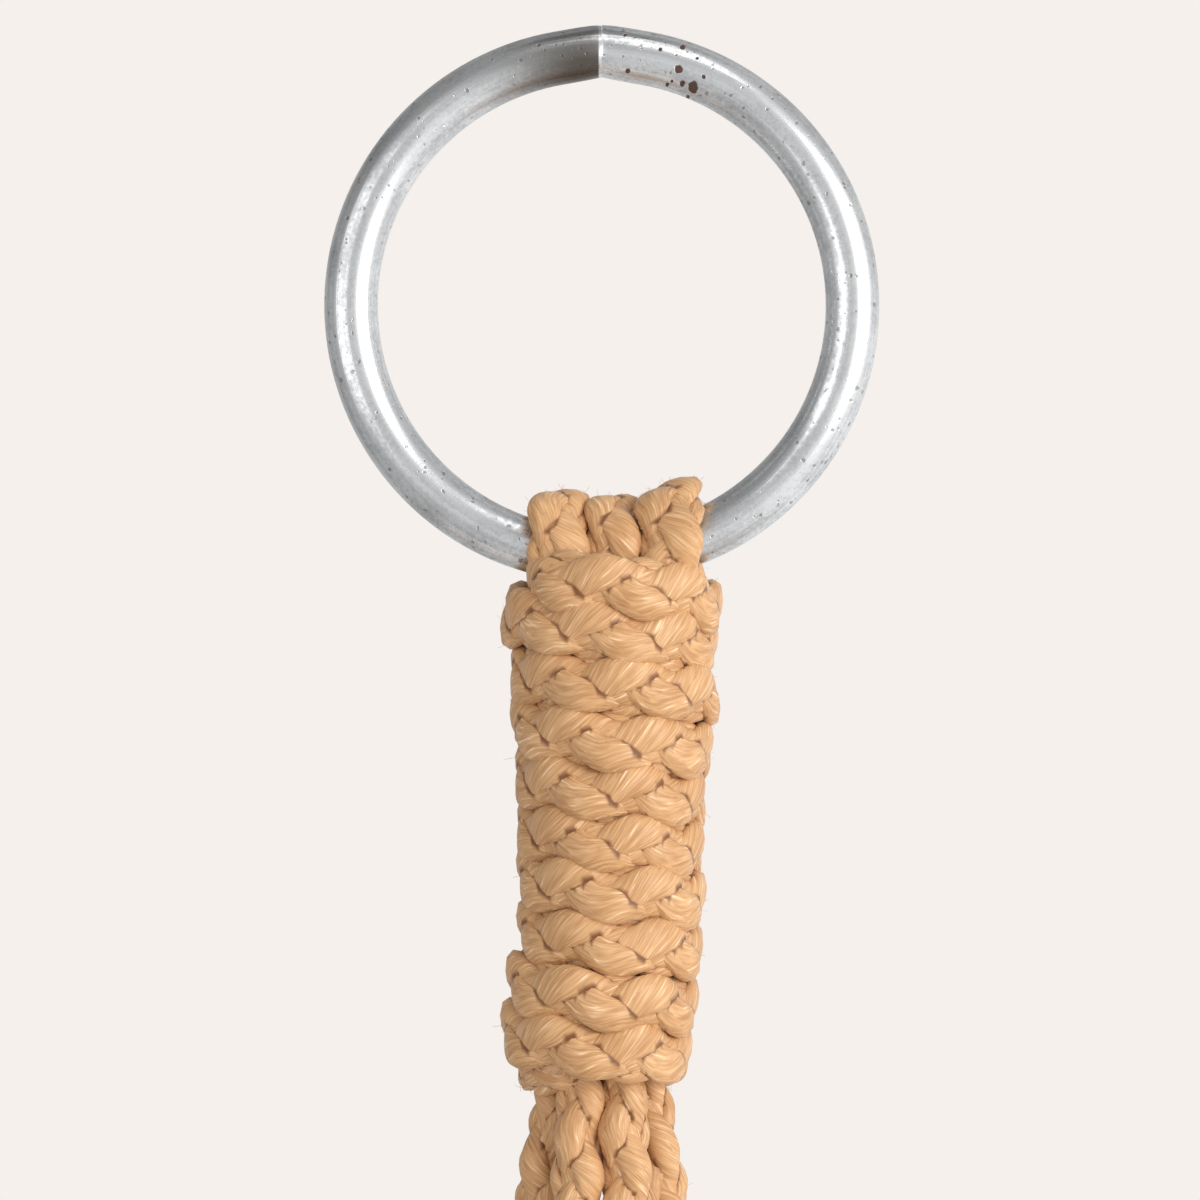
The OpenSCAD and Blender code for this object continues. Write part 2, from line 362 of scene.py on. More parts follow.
def speckle_group() -> bpy.types.NodeTree:
    """Small scattered spots.

    Returns:
        A group that turns a place into a mask of spots and a broad mottling.
    """
    group, tree, given, sink = new_group(
        "speckles", {"Scale": 900.0, "Amount": 0.3}, ("Spots", "Mottle"))
    place, scale = given["Vector"], given["Scale"]
    blur = tree.add("TexNoise", {"Vector": place, "Scale": scale, "Detail": 2.0})["Color"]
    shift = tree.vectors("MULTIPLY", blur, (0.0006, 0.0006, 0.0006))[0]
    cells = tree.add("TexVoronoi", {"Vector": tree.vectors("ADD", place, shift)[0],
                                    "Scale": scale})
    chance = tree.add("SeparateColor", {0: cells["Color"]})[0]
    size = tree.times(tree.math("POWER", chance, 4.0), given["Amount"])
    clean = tree.ramp(cells["Distance"], tree.times(size, 0.75), tree.math("ADD", size, 0.02))
    tree.feed(sink, {"Spots": tree.math("SUBTRACT", 1.0, clean),
                     "Mottle": tree.noise(place, tree.times(scale, 0.13), 3.0, 0.6)})
    return group


@dataclass(frozen=True)
class CordFinish:
    """Braided synthetic cord: silky filaments, pale on the crowns, with painted brown shade in the
    gaps and painted glints.
    """

    name: str
    crown: Colour = (0.86, 0.525, 0.26)
    body: Colour = (0.43, 0.195, 0.068)
    painted_glint: Colour = (1.0, 0.80, 0.55)
    # Painted shade for the crevices where strands meet, not a colour of the cord itself
    gap: Colour = (0.19, 0.064, 0.016)
    sheen: Colour = (1.0, 0.86, 0.68)
    roughness: float = 0.46

    def build(self, filaments: bpy.types.NodeTree) -> bpy.types.Material:
        """Makes the material.

        Args:
            filaments: The shared filament group.

        Returns:
            The material. It reads the UV map and the attributes of a woven piece.
        """
        material, tree, shader = new_finish(self.name)
        u, v, _ = tree.split(tree.add("UVMap", uv_map="strand")[0])
        strand, crown = (tree.add("Attribute", attribute_name=name)["Fac"]
                         for name in ("strand_number", "crown"))
        lines = tree.add("Group", {"Vector": tree.vector(u, v, strand)}, node_tree=filaments)
        cloudy = tree.noise(tree.add("TexCoord")["Object"], 160.0, 2.0)
        shade = tree.weighted((lines["Shade"], 0.62), (cloudy, 0.38))
        silk = tree.mix(shade, self.body, self.crown)
        # Painted glints: a paler colour where the filaments' height peaks
        silk = tree.mix(tree.ramp(lines["Height"], 0.58, 0.70, 0.0, 0.75), silk, self.painted_glint)
        tree.feed(shader, {
            # Painted shade: the gap colour darkens the corners where a strand meets its neighbours
            "Base Color": tree.mix(tree.ramp(crown, 0.0, 0.62), self.gap, silk),
            "Roughness": tree.ramp(lines["Height"], 0.2, 0.8, self.roughness + 0.12,
                                   self.roughness - 0.1),
            "Normal": tree.bump(0.8, 0.11 * MM, lines["Height"]), "Specular IOR Level": 0.42,
            "Sheen Weight": 0.22, "Sheen Roughness": 0.45, "Sheen Tint": (*self.sheen, 1)})
        return material


@dataclass(frozen=True)
class ZincFinish:
    """Zinc plating on rolled rod: satin, faintly mottled, with rust pits by the weld and a painted
    dark reflection to its left.
    """

    name: str
    bright: Colour = (0.82, 0.83, 0.84)
    dull: Colour = (0.50, 0.51, 0.52)
    spot: Colour = (0.20, 0.18, 0.15)
    pit: Colour = (0.085, 0.042, 0.028)
    # A painted dark reflection on the left-hand end by the weld
    painted_dark_reflection: Colour = (0.10, 0.082, 0.066)
    bend_r: float = 28 * MM
    # Rust pits on the front: how far right, how high and how big each is, in millimetres
    pits: tuple[tuple[float, float, float], ...] = (
        (8.5, 0.7, 0.5), (10.2, -1.3, 0.62), (8.95, -0.85, 0.34), (9.0, 3.2, 0.3),
        (2.6, 4.5, 0.22), (6.5, 2.9, 0.24), (11.3, -0.2, 0.24), (2.9, 0.5, 0.28),
        (7.3, -0.9, 0.22), (10.6, 1.9, 0.2), (9.6, -2.2, 0.2), (7.8, -0.6, 0.18),
    )

    def build(self, speckles: bpy.types.NodeTree, ring_z: float) -> bpy.types.Material:
        """Makes the material.

        Args:
            speckles: The shared speckle group.
            ring_z: Height of the ring's middle.

        Returns:
            The material. It reads Object coordinates.
        """
        material, tree, shader = new_finish(self.name)
        place = tree.add("TexCoord")["Object"]
        x, y, z = tree.split(place)
        spots = tree.add("Group", {"Vector": place, "Scale": 1500.0, "Amount": 0.42},
                         node_tree=speckles)
        frayed = tree.noise(place, 1400.0, 2.0)
        seen_flat = tree.vector(x, 0.0, z)
        pit: Any = 0.0
        for right, up, reach in self.pits:
            away = tree.vectors("DISTANCE", seen_flat, (right * MM, 0, up * MM))["Value"]
            edge = tree.math("SUBTRACT", away, tree.times(frayed, reach * 1.1 * MM))
            pit = tree.math("MAXIMUM", pit, tree.ramp(edge, 0.25 * reach * MM,
                                                      0.55 * reach * MM, 1.0, 0.0))
        pit = tree.times(pit, tree.math("LESS_THAN", y, 0.0))
        # Rolling marks run round the ring: noise on the distance from its middle
        above = tree.math("SUBTRACT", z, ring_z)
        radius = tree.vectors("LENGTH", tree.vector(x, 0.0, above))["Value"]
        rolled = tree.noise(tree.vector(tree.times(radius, 2600.0), tree.times(y, 2600.0),
                                        tree.times(x, 60.0)), 1.0, 3.0)
        spangle = tree.noise(place, 2100.0, 2.0, 0.7)
        grey = tree.weighted((spots["Mottle"], 0.36), (rolled, 0.3), (spangle, 0.34))
        plating = tree.mix(tree.ramp(grey, 0.35, 0.62), self.dull, self.bright)
        marked = tree.mix(tree.times(spots["Spots"], 0.6), plating, self.spot)
        # Painted dark reflection on the left-hand end by the weld, darkest on the inside of the
        # bend
        painted_reflection_mask = tree.times(tree.ramp(x, -16 * MM, -2 * MM),
                            tree.math("LESS_THAN", x, -0.35 * MM))
        inner = tree.ramp(tree.math("SUBTRACT", radius, self.bend_r), -1.0 * MM, 2.6 * MM,
                          1.0, 0.42)
        painted_reflection_mask = tree.times(tree.times(painted_reflection_mask, tree.math("GREATER_THAN", above, 0.0)), inner)
        marked = tree.mix(tree.times(painted_reflection_mask, 0.95), marked, self.painted_dark_reflection)
        dents = tree.weighted((rolled, 0.35), (pit, -1.0), (spots["Spots"], -0.4))
        tree.feed(shader, {
            "Base Color": tree.mix(pit, marked, self.pit),
            "Metallic": tree.math("SUBTRACT", 1.0, tree.times(pit, 0.9)),
            "Roughness": tree.weighted((tree.ramp(grey, 0.34, 0.66, 0.40, 0.20), 1.0),
                                       (pit, 0.4)),
            "Normal": tree.bump(0.5, 0.12 * MM, dents)})
        return material


@dataclass(frozen=True)
class ClayFinish:
    """Unglazed terracotta: mottled, with turning lines, a paler bloom and small grit."""

    name: str
    clay: Colour = (0.50, 0.185, 0.085)
    pale: Colour = (0.66, 0.33, 0.19)
    bloom: Colour = (0.72, 0.56, 0.45)
    grit: Colour = (0.24, 0.09, 0.045)

    def build(self, speckles: bpy.types.NodeTree, foot_z: float,
              height: float) -> bpy.types.Material:
        """Makes the material.

        Args:
            speckles: The shared speckle group.
            foot_z: Height of the pot's foot.
            height: The pot's height.

        Returns:
            The material. It reads Object coordinates.
        """
        material, tree, shader = new_finish(self.name)
        place = tree.add("TexCoord")["Object"]
        x, y, z = tree.split(place)
        grit = tree.add("Group", {"Vector": place, "Scale": 700.0, "Amount": 0.45},
                        node_tree=speckles)
        cloud = tree.noise(place, 28.0, 5.0, 0.6)
        turned = tree.noise(tree.vector(tree.times(x, 14.0), tree.times(y, 14.0),
                                        tree.times(z, 900.0)), 1.0, 3.0)
        up = tree.math("DIVIDE", tree.math("SUBTRACT", z, foot_z), height)
        worn = tree.weighted((cloud, 1.0), (tree.ramp(up, 0.0, 0.55, 1.0, 0.0), 0.30),
                             (tree.ramp(up, 0.9, 1.0), 0.18))
        base = tree.mix(tree.ramp(tree.weighted((cloud, 0.6), (turned, 0.4)), 0.35, 0.68),
                        self.clay, self.pale)
        body = tree.mix(tree.ramp(worn, 0.56, 0.86, 0.0, 0.75), base, self.bloom)
        rough = tree.weighted((turned, 0.8), (grit["Spots"], -0.5))
        tree.feed(shader, {
            "Base Color": tree.mix(tree.times(grit["Spots"], 0.45), body, self.grit),
            "Roughness": tree.ramp(cloud, 0.3, 0.7, 0.72, 0.9),
            "Normal": tree.bump(0.5, 0.3 * MM, rough), "Specular IOR Level": 0.3})
        return material


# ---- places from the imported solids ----


@dataclass(frozen=True)
class Layout:
    """Places and sizes that every piece is built from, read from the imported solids."""

    ring_r: float
    rod_r: float
    ring_z: float
    wrap_top: float
    wrap_bottom: float
    lower_top: float
    lower_bottom: float
    arm_knots: tuple[np.ndarray, ...]
    cradle_knots: tuple[np.ndarray, ...]
    tail_knots: tuple[np.ndarray, ...]
    rim_r: float
    rim_z: float
    foot_z: float

    arm_angles: tuple[float, ...] = (-90.0, 30.0, 150.0)
    cord_d: float = 6 * MM
    squeezed_d: float = 4.4 * MM
    band_h: float = 26 * MM
    band_step: float = 4 * MM
    foot_r: float = 49 * MM
    lip_r: float = 2 * MM
    pot_wall: float = 6 * MM
    drain_r: float = 8 * MM
    clear: float = 0.5 * MM

    @classmethod
    def measure(cls) -> "Layout":
        """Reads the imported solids' boxes."""
        def corners(node: str) -> tuple[np.ndarray, np.ndarray]:
            """A solid's lowest and highest corners."""
            low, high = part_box(node)
            return np.array(low), np.array(high)

        def middles(stem: str, count: int) -> tuple[np.ndarray, ...]:
            """The middles of a numbered row of solids."""
            return tuple(sum(corners(f"{stem}_{n + 1}")) / 2 for n in range(count))

        low, high = corners("ring")
        rod_r = (high[1] - low[1]) / 2
        ring_r = (high[0] - low[0]) / 2 - rod_r
        wrap_low, wrap_high = corners("top_wrap")
        lower_low, lower_high = corners("lower_wrap")
        pot_low, pot_high = corners("pot")
        return cls(
            ring_r=ring_r, rod_r=rod_r, ring_z=low[2] + rod_r + ring_r,
            wrap_top=wrap_high[2], wrap_bottom=wrap_low[2],
            lower_top=lower_high[2], lower_bottom=lower_low[2],
            arm_knots=middles("arm_knot", 3), cradle_knots=middles("cradle_knot", 3),
            tail_knots=middles("tail_knot", 6),
            rim_r=pot_high[0], rim_z=pot_high[2], foot_z=pot_low[2])

    @property
    def cord_r(self) -> float:
        """Half a cord's thickness."""
        return self.cord_d / 2

    @property
    def aside(self) -> float:
        """Half the spacing of the two cords of a pair."""
        return self.cord_r + 0.1 * MM

    @property
    def hex_r(self) -> float:
        """Distance from the axis to the middle of a squeezed leg."""
        return self.squeezed_d + 0.2 * MM

    @property
    def squeezed(self) -> tuple[float, float, float]:
        """A squeezed leg's thickness and width as shares of its own, and its squareness."""
        return (self.squeezed_d / self.cord_d, self.squeezed_d / self.cord_d, 0.3)

    @property
    def free_hex_r(self) -> float:
        """Distance from the axis to the middle of a leg that nothing squeezes."""
        return self.cord_d + 0.2 * MM

    def wall_r(self, z: float) -> float:
        """Radius of the pot's wall at a height under the rim band."""
        neck_r, top = self.rim_r - self.band_step, self.rim_z - self.band_h
        return self.foot_r + (neck_r - self.foot_r) * (z - self.foot_z) / (top - self.foot_z)


# ---- braid ----


@dataclass
class Route:
    """The line that a cord follows, sampled evenly, with its facing side and its pressing.

    Each row of squash holds the cord's thickness and width as shares of its own, and how
    square its section is, from 0 to 1.
    """

    points: np.ndarray
    facing: np.ndarray
    squash: np.ndarray
    step: float

    @property
    def tangents(self) -> np.ndarray:
        """Unit vectors along the route."""
        return unit(np.gradient(self.points, axis=0))


@dataclass
class Course:
    """How a strand runs inside its cord: its own polar place, its slant and its size."""

    angle: np.ndarray
    radius: np.ndarray
    reach: np.ndarray
    slant: np.ndarray
    half_w: np.ndarray
    half_t: np.ndarray

    def at(self, index: np.ndarray) -> "Course":
        """The course at some samples."""
        return Course(self.angle[index], self.radius[index], self.reach[index],
                      self.slant[index], self.half_w[index], self.half_t[index])

    def height(self, theta: np.ndarray) -> np.ndarray:
        """How far out the strand's top lies at some angles, or 0 where it doesn't reach."""
        off = (theta - self.angle + math.pi) % (2 * math.pi) - math.pi
        share = off * self.reach / np.sqrt(1 + self.slant ** 2) / self.half_w
        top = self.radius + self.half_t * np.sqrt(np.clip(1 - share ** 2, 0, 1))
        return np.where(np.abs(share) < 1, top, 0.0)


@dataclass
class Braid:
    """A round braid of four strands over a core, two wound each way, over one and under one."""

    pitch: float = 17.4 * MM
    mean_r: float = 1.56 * MM
    lift: float = 0.54 * MM
    width: float = 4.1 * MM
    thick: float = 2.1 * MM
    under: float = 0.82
    lag: float = 0.36
    crease: float = 0.27 * MM
    core_r: float = 1.85 * MM
    core_crown: float = 0.7
    droop: float = 0.16
    seed: int = 7

    def course(self, route: Route, number: int) -> "Course":
        """Works out how one strand runs along a whole route.

        Args:
            route: The cord's route.
            number: Which of the four strands.

        Returns:
            The strand's course.
        """
        s = np.arange(len(route.points)) * route.step
        way = 1.0 if number < 2 else -1.0
        turn = 2 * math.pi * s / self.pitch
        rng = np.random.default_rng(self.seed + number)
        phases, waves = rng.uniform(0, 6.28, 5), rng.uniform(0.45, 1.25, 5) / self.pitch
        sway = [np.sin(2 * math.pi * s * waves[k] + phases[k]) for k in range(5)]
        over = way * np.cos(2 * turn)
        lift = 0.5 + 0.5 * over
        radius = self.mean_r + self.lift * over + 0.05 * MM * sway[0]
        # A strand keeps to its own column while it is on top, and crosses over underneath
        angle = (way * (turn - way * self.lag * np.sin(2 * turn)) + math.pi * (number % 2)
                 + math.pi / 4 + 0.05 * sway[1] + 0.04 * sway[2])
        reach = np.maximum(radius, 1.5 * MM)
        half_w = self.width / 2 * (self.under - (self.under - 1) * lift + 0.05 * sway[3])
        half_t = self.thick / 2 * (0.95 + 0.08 * lift + 0.04 * sway[4])
        return Course(angle, radius, reach, reach * np.gradient(angle, route.step),
                      half_w, half_t)

    def strand(self, route: Route, first: int, last: int, number: int, sides: int,
               every: int) -> tuple[np.ndarray, np.ndarray, np.ndarray]:
        """Shapes one strand of a stretch of cord.

        Args:
            route: The cord's whole route.
            first: Sample at which the stretch starts.
            last: Sample at which it ends.
            number: Which of the four strands, or 4 for the core.
            sides: Corners of the strand's section.
            every: How many samples to a ring of corners.

        Returns:
            The rings of corners, the distance along the cord at each ring, and how open
            each corner lies, from 0 where strands meet to 1 on a crown.
        """
        index = np.unique(np.append(np.arange(first, last, every), last))
        around = np.arange(sides)[None, :] * 2 * math.pi / sides
        if number == STRANDS:
            # The core, which closes the gaps between the strands
            theta = around + index[:, None] * 0
            out, along, crown = theta * 0 + self.core_r, theta * 0, theta * 0 + self.core_crown
        else:
            courses = [self.course(route, n) for n in range(STRANDS)]
            own = courses[number].at(index[:, None])
            across = own.half_w * np.sin(around) / np.sqrt(1 + own.slant ** 2)
            out = (own.radius + own.half_t * np.cos(around)
                   - self.droop * across ** 2 / self.width)
            theta, along = own.angle + across / own.reach, -across * own.slant
            place = np.clip(index[:, None] + np.rint(along / route.step).astype(int), 0,
                            len(route.points) - 1)
            others = [c.at(place).height(theta) for n, c in enumerate(courses) if n != number]
            # How far the strand stands above its neighbours: the cord's finish paints crevice
            # shade where this is low
            crown = np.clip((out - np.maximum.reduce(others)) / self.crease, 0, 1)
        # A pressed cord goes from a round section towards a square one
        thick, wide, square = route.squash[index].T[:, :, None]
        out = out * (1 + ((np.cos(theta) ** 4 + np.sin(theta) ** 4) ** -0.25 - 1) * square)
        tangents, facing = route.tangents[index], route.facing[index]
        rings = route.points[index][:, None] + sum(
            way[:, None] * share[:, :, None] for way, share in (
                (facing, out * np.cos(theta) * thick),
                (np.cross(tangents, facing), out * np.sin(theta) * wide), (tangents, along)))
        return rings, index * route.step, crown

    def weave(self, name: str, stretches: Sequence[tuple[Route, int, int]],
              fineness: Fineness, material: bpy.types.Material) -> bpy.types.Object:
        """Makes a piece of braided cord.

        Args:
            name: The piece's name.
            stretches: Routes with the first and the last sample to weave on each.
            fineness: How finely to mesh it.
            material: Its finish.

        Returns:
            The piece, with a UV map in metres named strand and the attributes that the
            finish reads.
        """
        step, sides = fineness.value
        verts, faces, uvs, crowns, numbers = [], [], [], [], []
        start = 0
        k = np.arange(sides)
        following = (k + 1) % sides
        v = np.arange(sides + 1) / sides * math.pi * (self.width + self.thick) / 2
        for route, first, last in stretches:
            every = max(1, int(round(step / route.step)))
            for number in range(STRANDS + 1):
                rings, s, crown = self.strand(route, first, last, number, sides, every)
                count = len(rings)
                verts.append(rings.reshape(-1, 3))
                crowns.append(crown.reshape(-1))
                numbers.append(np.full(count * sides, number + 1.0))
                base = start + np.arange(count - 1)[:, None] * sides
                faces += np.stack([base + k, base + following, base + sides + following,
                                   base + sides + k], axis=2).reshape(-1, 4).tolist()
                u0, u1 = np.repeat(s[:-1], sides), np.repeat(s[1:], sides)
                v0, v1 = np.tile(v[:-1], count - 1), np.tile(v[1:], count - 1)
                uvs.append(np.stack([u0, v0, u0, v1, u1, v1, u1, v0], axis=1).reshape(-1, 2))
                for ring, turn in ((0, -1), (count - 1, 1)):
                    faces.append((start + ring * sides + k)[::turn].tolist())
                    uvs.append(np.tile([[s[ring], 0.0]], (sides, 1)))
                start += count * sides
        return cord_piece(name, np.vstack(verts), faces, np.vstack(uvs),
                          np.concatenate(crowns), np.concatenate(numbers), material, True)


def placed(name: str, data: Any) -> bpy.types.Object:
    """An object in the scene for a mesh, a light or a camera."""
    thing = bpy.data.objects.new(name, data)
    bpy.context.collection.objects.link(thing)
    return thing


def cord_piece(name: str, verts: np.ndarray, faces: list[Sequence[int]], uvs: np.ndarray,
               crowns: np.ndarray, numbers: np.ndarray, material: bpy.types.Material,
               smooth: bool) -> bpy.types.Object:
    """Makes a piece with all that the cord's finish reads.

    Args:
        name: The piece's name.
        verts: Its corners.
        faces: Its faces.
        uvs: A place on the strand, in metres, for each corner of each face.
        crowns: How open each corner lies.
        numbers: Which strand each corner is on.
        material: Its finish.
        smooth: Whether it's shaded smoothly.

    Returns:
        The piece.
    """
    mesh = bpy.data.meshes.new(name)
    mesh.from_pydata(verts.tolist(), [], faces)
    mesh.uv_layers.new(name="strand").data.foreach_set("uv", uvs.ravel())
    for key, values in (("crown", crowns), ("strand_number", numbers)):
        mesh.attributes.new(key, "FLOAT", "POINT").data.foreach_set("value", values)
    mesh.polygons.foreach_set("use_smooth", np.full(len(mesh.polygons), smooth))
    mesh.materials.append(material)
    mesh.update()
    return placed(name, mesh)


def stray_fibres(name: str, pieces: Sequence[bpy.types.Object], each: int,
                 seed: int) -> bpy.types.Object:
    """Fine loose fibres that stand off the crowns of woven pieces.

    Args:
        name: The new piece's name.
        pieces: Woven pieces.
        each: How many fibres to raise on each piece.
        seed: Seed of the fibres' places and shapes.

    Returns:
        The fibres, as one piece with the first piece's finish.
    """
    rng = np.random.default_rng(seed)
    verts, faces = [], []
    parts, on_crown, root, tip = 6, 0.6, 0.1 * MM, 0.3
    for piece in pieces:
        mesh = piece.data
        count = len(mesh.vertices)
        places, normals, crowns = np.empty((count, 3)), np.empty((count, 3)), np.empty(count)
        mesh.vertices.foreach_get("co", places.ravel())
        mesh.vertex_normals.foreach_get("vector", normals.ravel())
        mesh.attributes["crown"].data.foreach_get("value", crowns)
        pool = np.flatnonzero(crowns > on_crown)
        for start in rng.choice(pool, min(each, len(pool)), replace=False):
            normal = normals[start]
            way = unit(normal * rng.uniform(0.1, 0.7) + rng.normal(0, 0.5, 3))
            bend = rng.normal(0, 0.35, 3)
            length, thick = rng.uniform(0.35, 1.5) * MM, rng.uniform(0.012, 0.022) * MM
            here = places[start] - normal * root
            base = len(verts)
            for k in range(parts + 1):
                side = unit(np.cross(way, (0.3, 0.5, 0.8)))
                other = np.cross(way, side)
                for a in (0.0, 2 * math.pi / 3, 4 * math.pi / 3):
                    verts.append(here + (side * math.cos(a) + other * math.sin(a)) * thick
                                 * (1.0 if k < parts else tip))
                here = here + way * length / parts
                way = unit(way + bend / parts * 1.6 + rng.normal(0, 0.06, 3))
            for a in range(base, base + 3 * parts, 3):
                faces += [(a + i, a + (i + 1) % 3, a + 3 + (i + 1) % 3, a + 3 + i)
                          for i in range(3)]
            end = base + 3 * parts
            faces += [(base + 2, base + 1, base), (end, end + 1, end + 2)]
    uvs = rng.uniform(0, 0.01, sum(map(len, faces)) * 2)
    return cord_piece(name, np.array(verts), faces, uvs, np.ones(len(verts)),
                      np.zeros(len(verts)), pieces[0].data.materials[0], False)


# ---- knots ----


@dataclass
class OverhandKnot:
    """An overhand knot in one cord or in two laid side by side, pulled tight."""

    cords: int
    cord_d: float
    reach: float
    spare: float
    nodes_per_cord: int
    rounds: int = 420
    side_by_side: float = 1.02

    def shifts(self) -> np.ndarray:
        """How far each cord lies to the side of the middle of them all."""
        return ((np.arange(self.cords) - (self.cords - 1) / 2) * self.cord_d
                * self.side_by_side)

    def start(self) -> np.ndarray:
        """A wide open knot, which goes in at the top and comes out at the bottom.

        Returns:
            Samples of each cord, by cord.
        """
        t = np.linspace(-2.05, 2.05, self.nodes_per_cord * 6)
        line = np.stack([t ** 3 - 3 * t, t ** 4 - 4 * t ** 2 + 2, -(t ** 5 - 10 * t) * 0.32],
                        axis=1) * self.cord_d * (1.7 if self.cords == 2 else 1.15)
        even, _ = smooth_curve(line[::6], self.cord_d / 8)
        normal = carried(even, np.array([1.0, 0.0, 0.0]))
        pick = np.linspace(0, len(even) - 1, self.nodes_per_cord).round().astype(int)
        return np.stack([even[pick] + normal[pick] * d for d in self.shifts()])

    def tighten(self) -> np.ndarray:
        """Pulls the two ends apart until the knot is tight.

        Returns:
            Samples of each cord from the top to the bottom, by cord, with the knot's middle
            at the origin.
        """
        x = self.start()
        cords, n, _ = x.shape
        first_link = np.linalg.norm(np.diff(x, axis=1), axis=2).mean()
        last_link = (2 * self.reach + self.spare) / (n - 1)
        shift = self.shifts()
        ends = [(0, x[:, 0].copy(), 1), (-1, x[:, -1].copy(), -1)]
        i, j = np.triu_indices(cords * n, 1)

        def hold_ends(ease: float) -> None:
            """Moves the cords' ends a share of the way to where they are pulled to."""
            for end, start, up in ends:
                goal = np.stack([shift, shift * 0, shift * 0 + self.reach * up], axis=1)
                x[:, end] = start + (goal - start) * ease

        for round_number in range(self.rounds):
            share = min(1.0, round_number / (self.rounds * 0.8))
            link = first_link + (last_link - first_link) * share
            ease = share * share * (3 - 2 * share)
            # Nodes that follow each other closely on a cord may touch
            apart = (i // n != j // n) | (np.abs(i % n - j % n) * link >= self.cord_d * 1.35)
            live_i, live_j = i[apart], j[apart]
            hold_ends(ease)
            for _ in range(10):
                for parity in (0, 1):
                    a, b = x[:, parity:-1:2], x[:, parity + 1::2]
                    gap = b - a
                    length = np.linalg.norm(gap, axis=2, keepdims=True)
                    move = gap * (0.5 * (length - link) / np.maximum(length, 1e-9))
                    a += move
                    b -= move
                x[:, 1:-1] += ((x[:, :-2] + x[:, 2:]) / 2 - x[:, 1:-1]) * 0.06
                flat = x.reshape(-1, 3)
                gap = flat[live_j] - flat[live_i]
                length = np.linalg.norm(gap, axis=1)
                near = length < self.cord_d
                pi, pj = live_i[near], live_j[near]
                push = gap[near] * (0.5 * (self.cord_d - length[near])
                                    / np.maximum(length[near], 1e-9))[:, None] * 0.9
                count = np.maximum(1, np.bincount(np.concatenate([pi, pj]),
                                                  minlength=len(flat)))[:, None]
                delta = np.zeros_like(flat)
                np.add.at(delta, pi, -push)
                np.add.at(delta, pj, push)
                flat += delta / np.sqrt(count)
                hold_ends(ease)
        return x


@dataclass(frozen=True)
class Seat:
    """Where a knot sits: its middle, and the directions of its side, its front and its top."""

    middle: np.ndarray
    side: np.ndarray
    front: np.ndarray
    top: np.ndarray

    @classmethod
    def facing_out(cls, middle: np.ndarray, top: np.ndarray) -> "Seat":
        """A seat whose front looks away from the hanger's axis.

        Args:
            middle: The knot's middle.
            top: The direction in which the cords come in.

        Returns:
            The seat.
        """
        out = unit(np.array([middle[0], middle[1], 0.0]))
        top = unit(top)
        front = unit(out - top * np.dot(out, top))
        return cls(middle, np.cross(top, front) * -1.0, front, top)

    def place(self, samples: np.ndarray) -> np.ndarray:
        """Moves a knot's samples from its own directions to the planter's."""
        return (self.middle + samples[:, :1] * self.side + samples[:, 1:2] * self.front
                + samples[:, 2:] * self.top)


@dataclass(frozen=True)
class KnotShapes:
    """The tightened knots, each worked out once, and how far the pair's reaches."""

    pair: np.ndarray
    single: np.ndarray
    reach: float

    @classmethod
    def tightened(cls, cord_d: float) -> "KnotShapes":
        """Ties both knots, for a cord's thickness."""
        pair = OverhandKnot(2, cord_d, 17 * MM, 52 * MM, 50)
        single = OverhandKnot(1, cord_d, 13 * MM, 36 * MM, 36)
        return cls(pair.tighten(), single.tighten(), pair.reach)


# ---- the hanger's cords ----


@dataclass
class Waypoints:
    """Points of a cord, collected from the ring down to a tail's end."""

    points: list[np.ndarray] = field(default_factory=list)
    flats: list[tuple[float, float, float]] = field(default_factory=list)
    marks: dict[str, int] = field(default_factory=dict)

    def go(self, point: Iterable[float],
           flat: tuple[float, float, float] = (1.0, 1.0, 0.0)) -> None:
        """Adds a point, with the cord's thickness, width and squareness there."""
        self.points.append(np.array(list(point), float))
        self.flats.append(flat)

    def mark(self, name: str) -> None:
        """Names the last point, where one piece ends and the next begins."""
        self.marks[name] = len(self.points) - 1


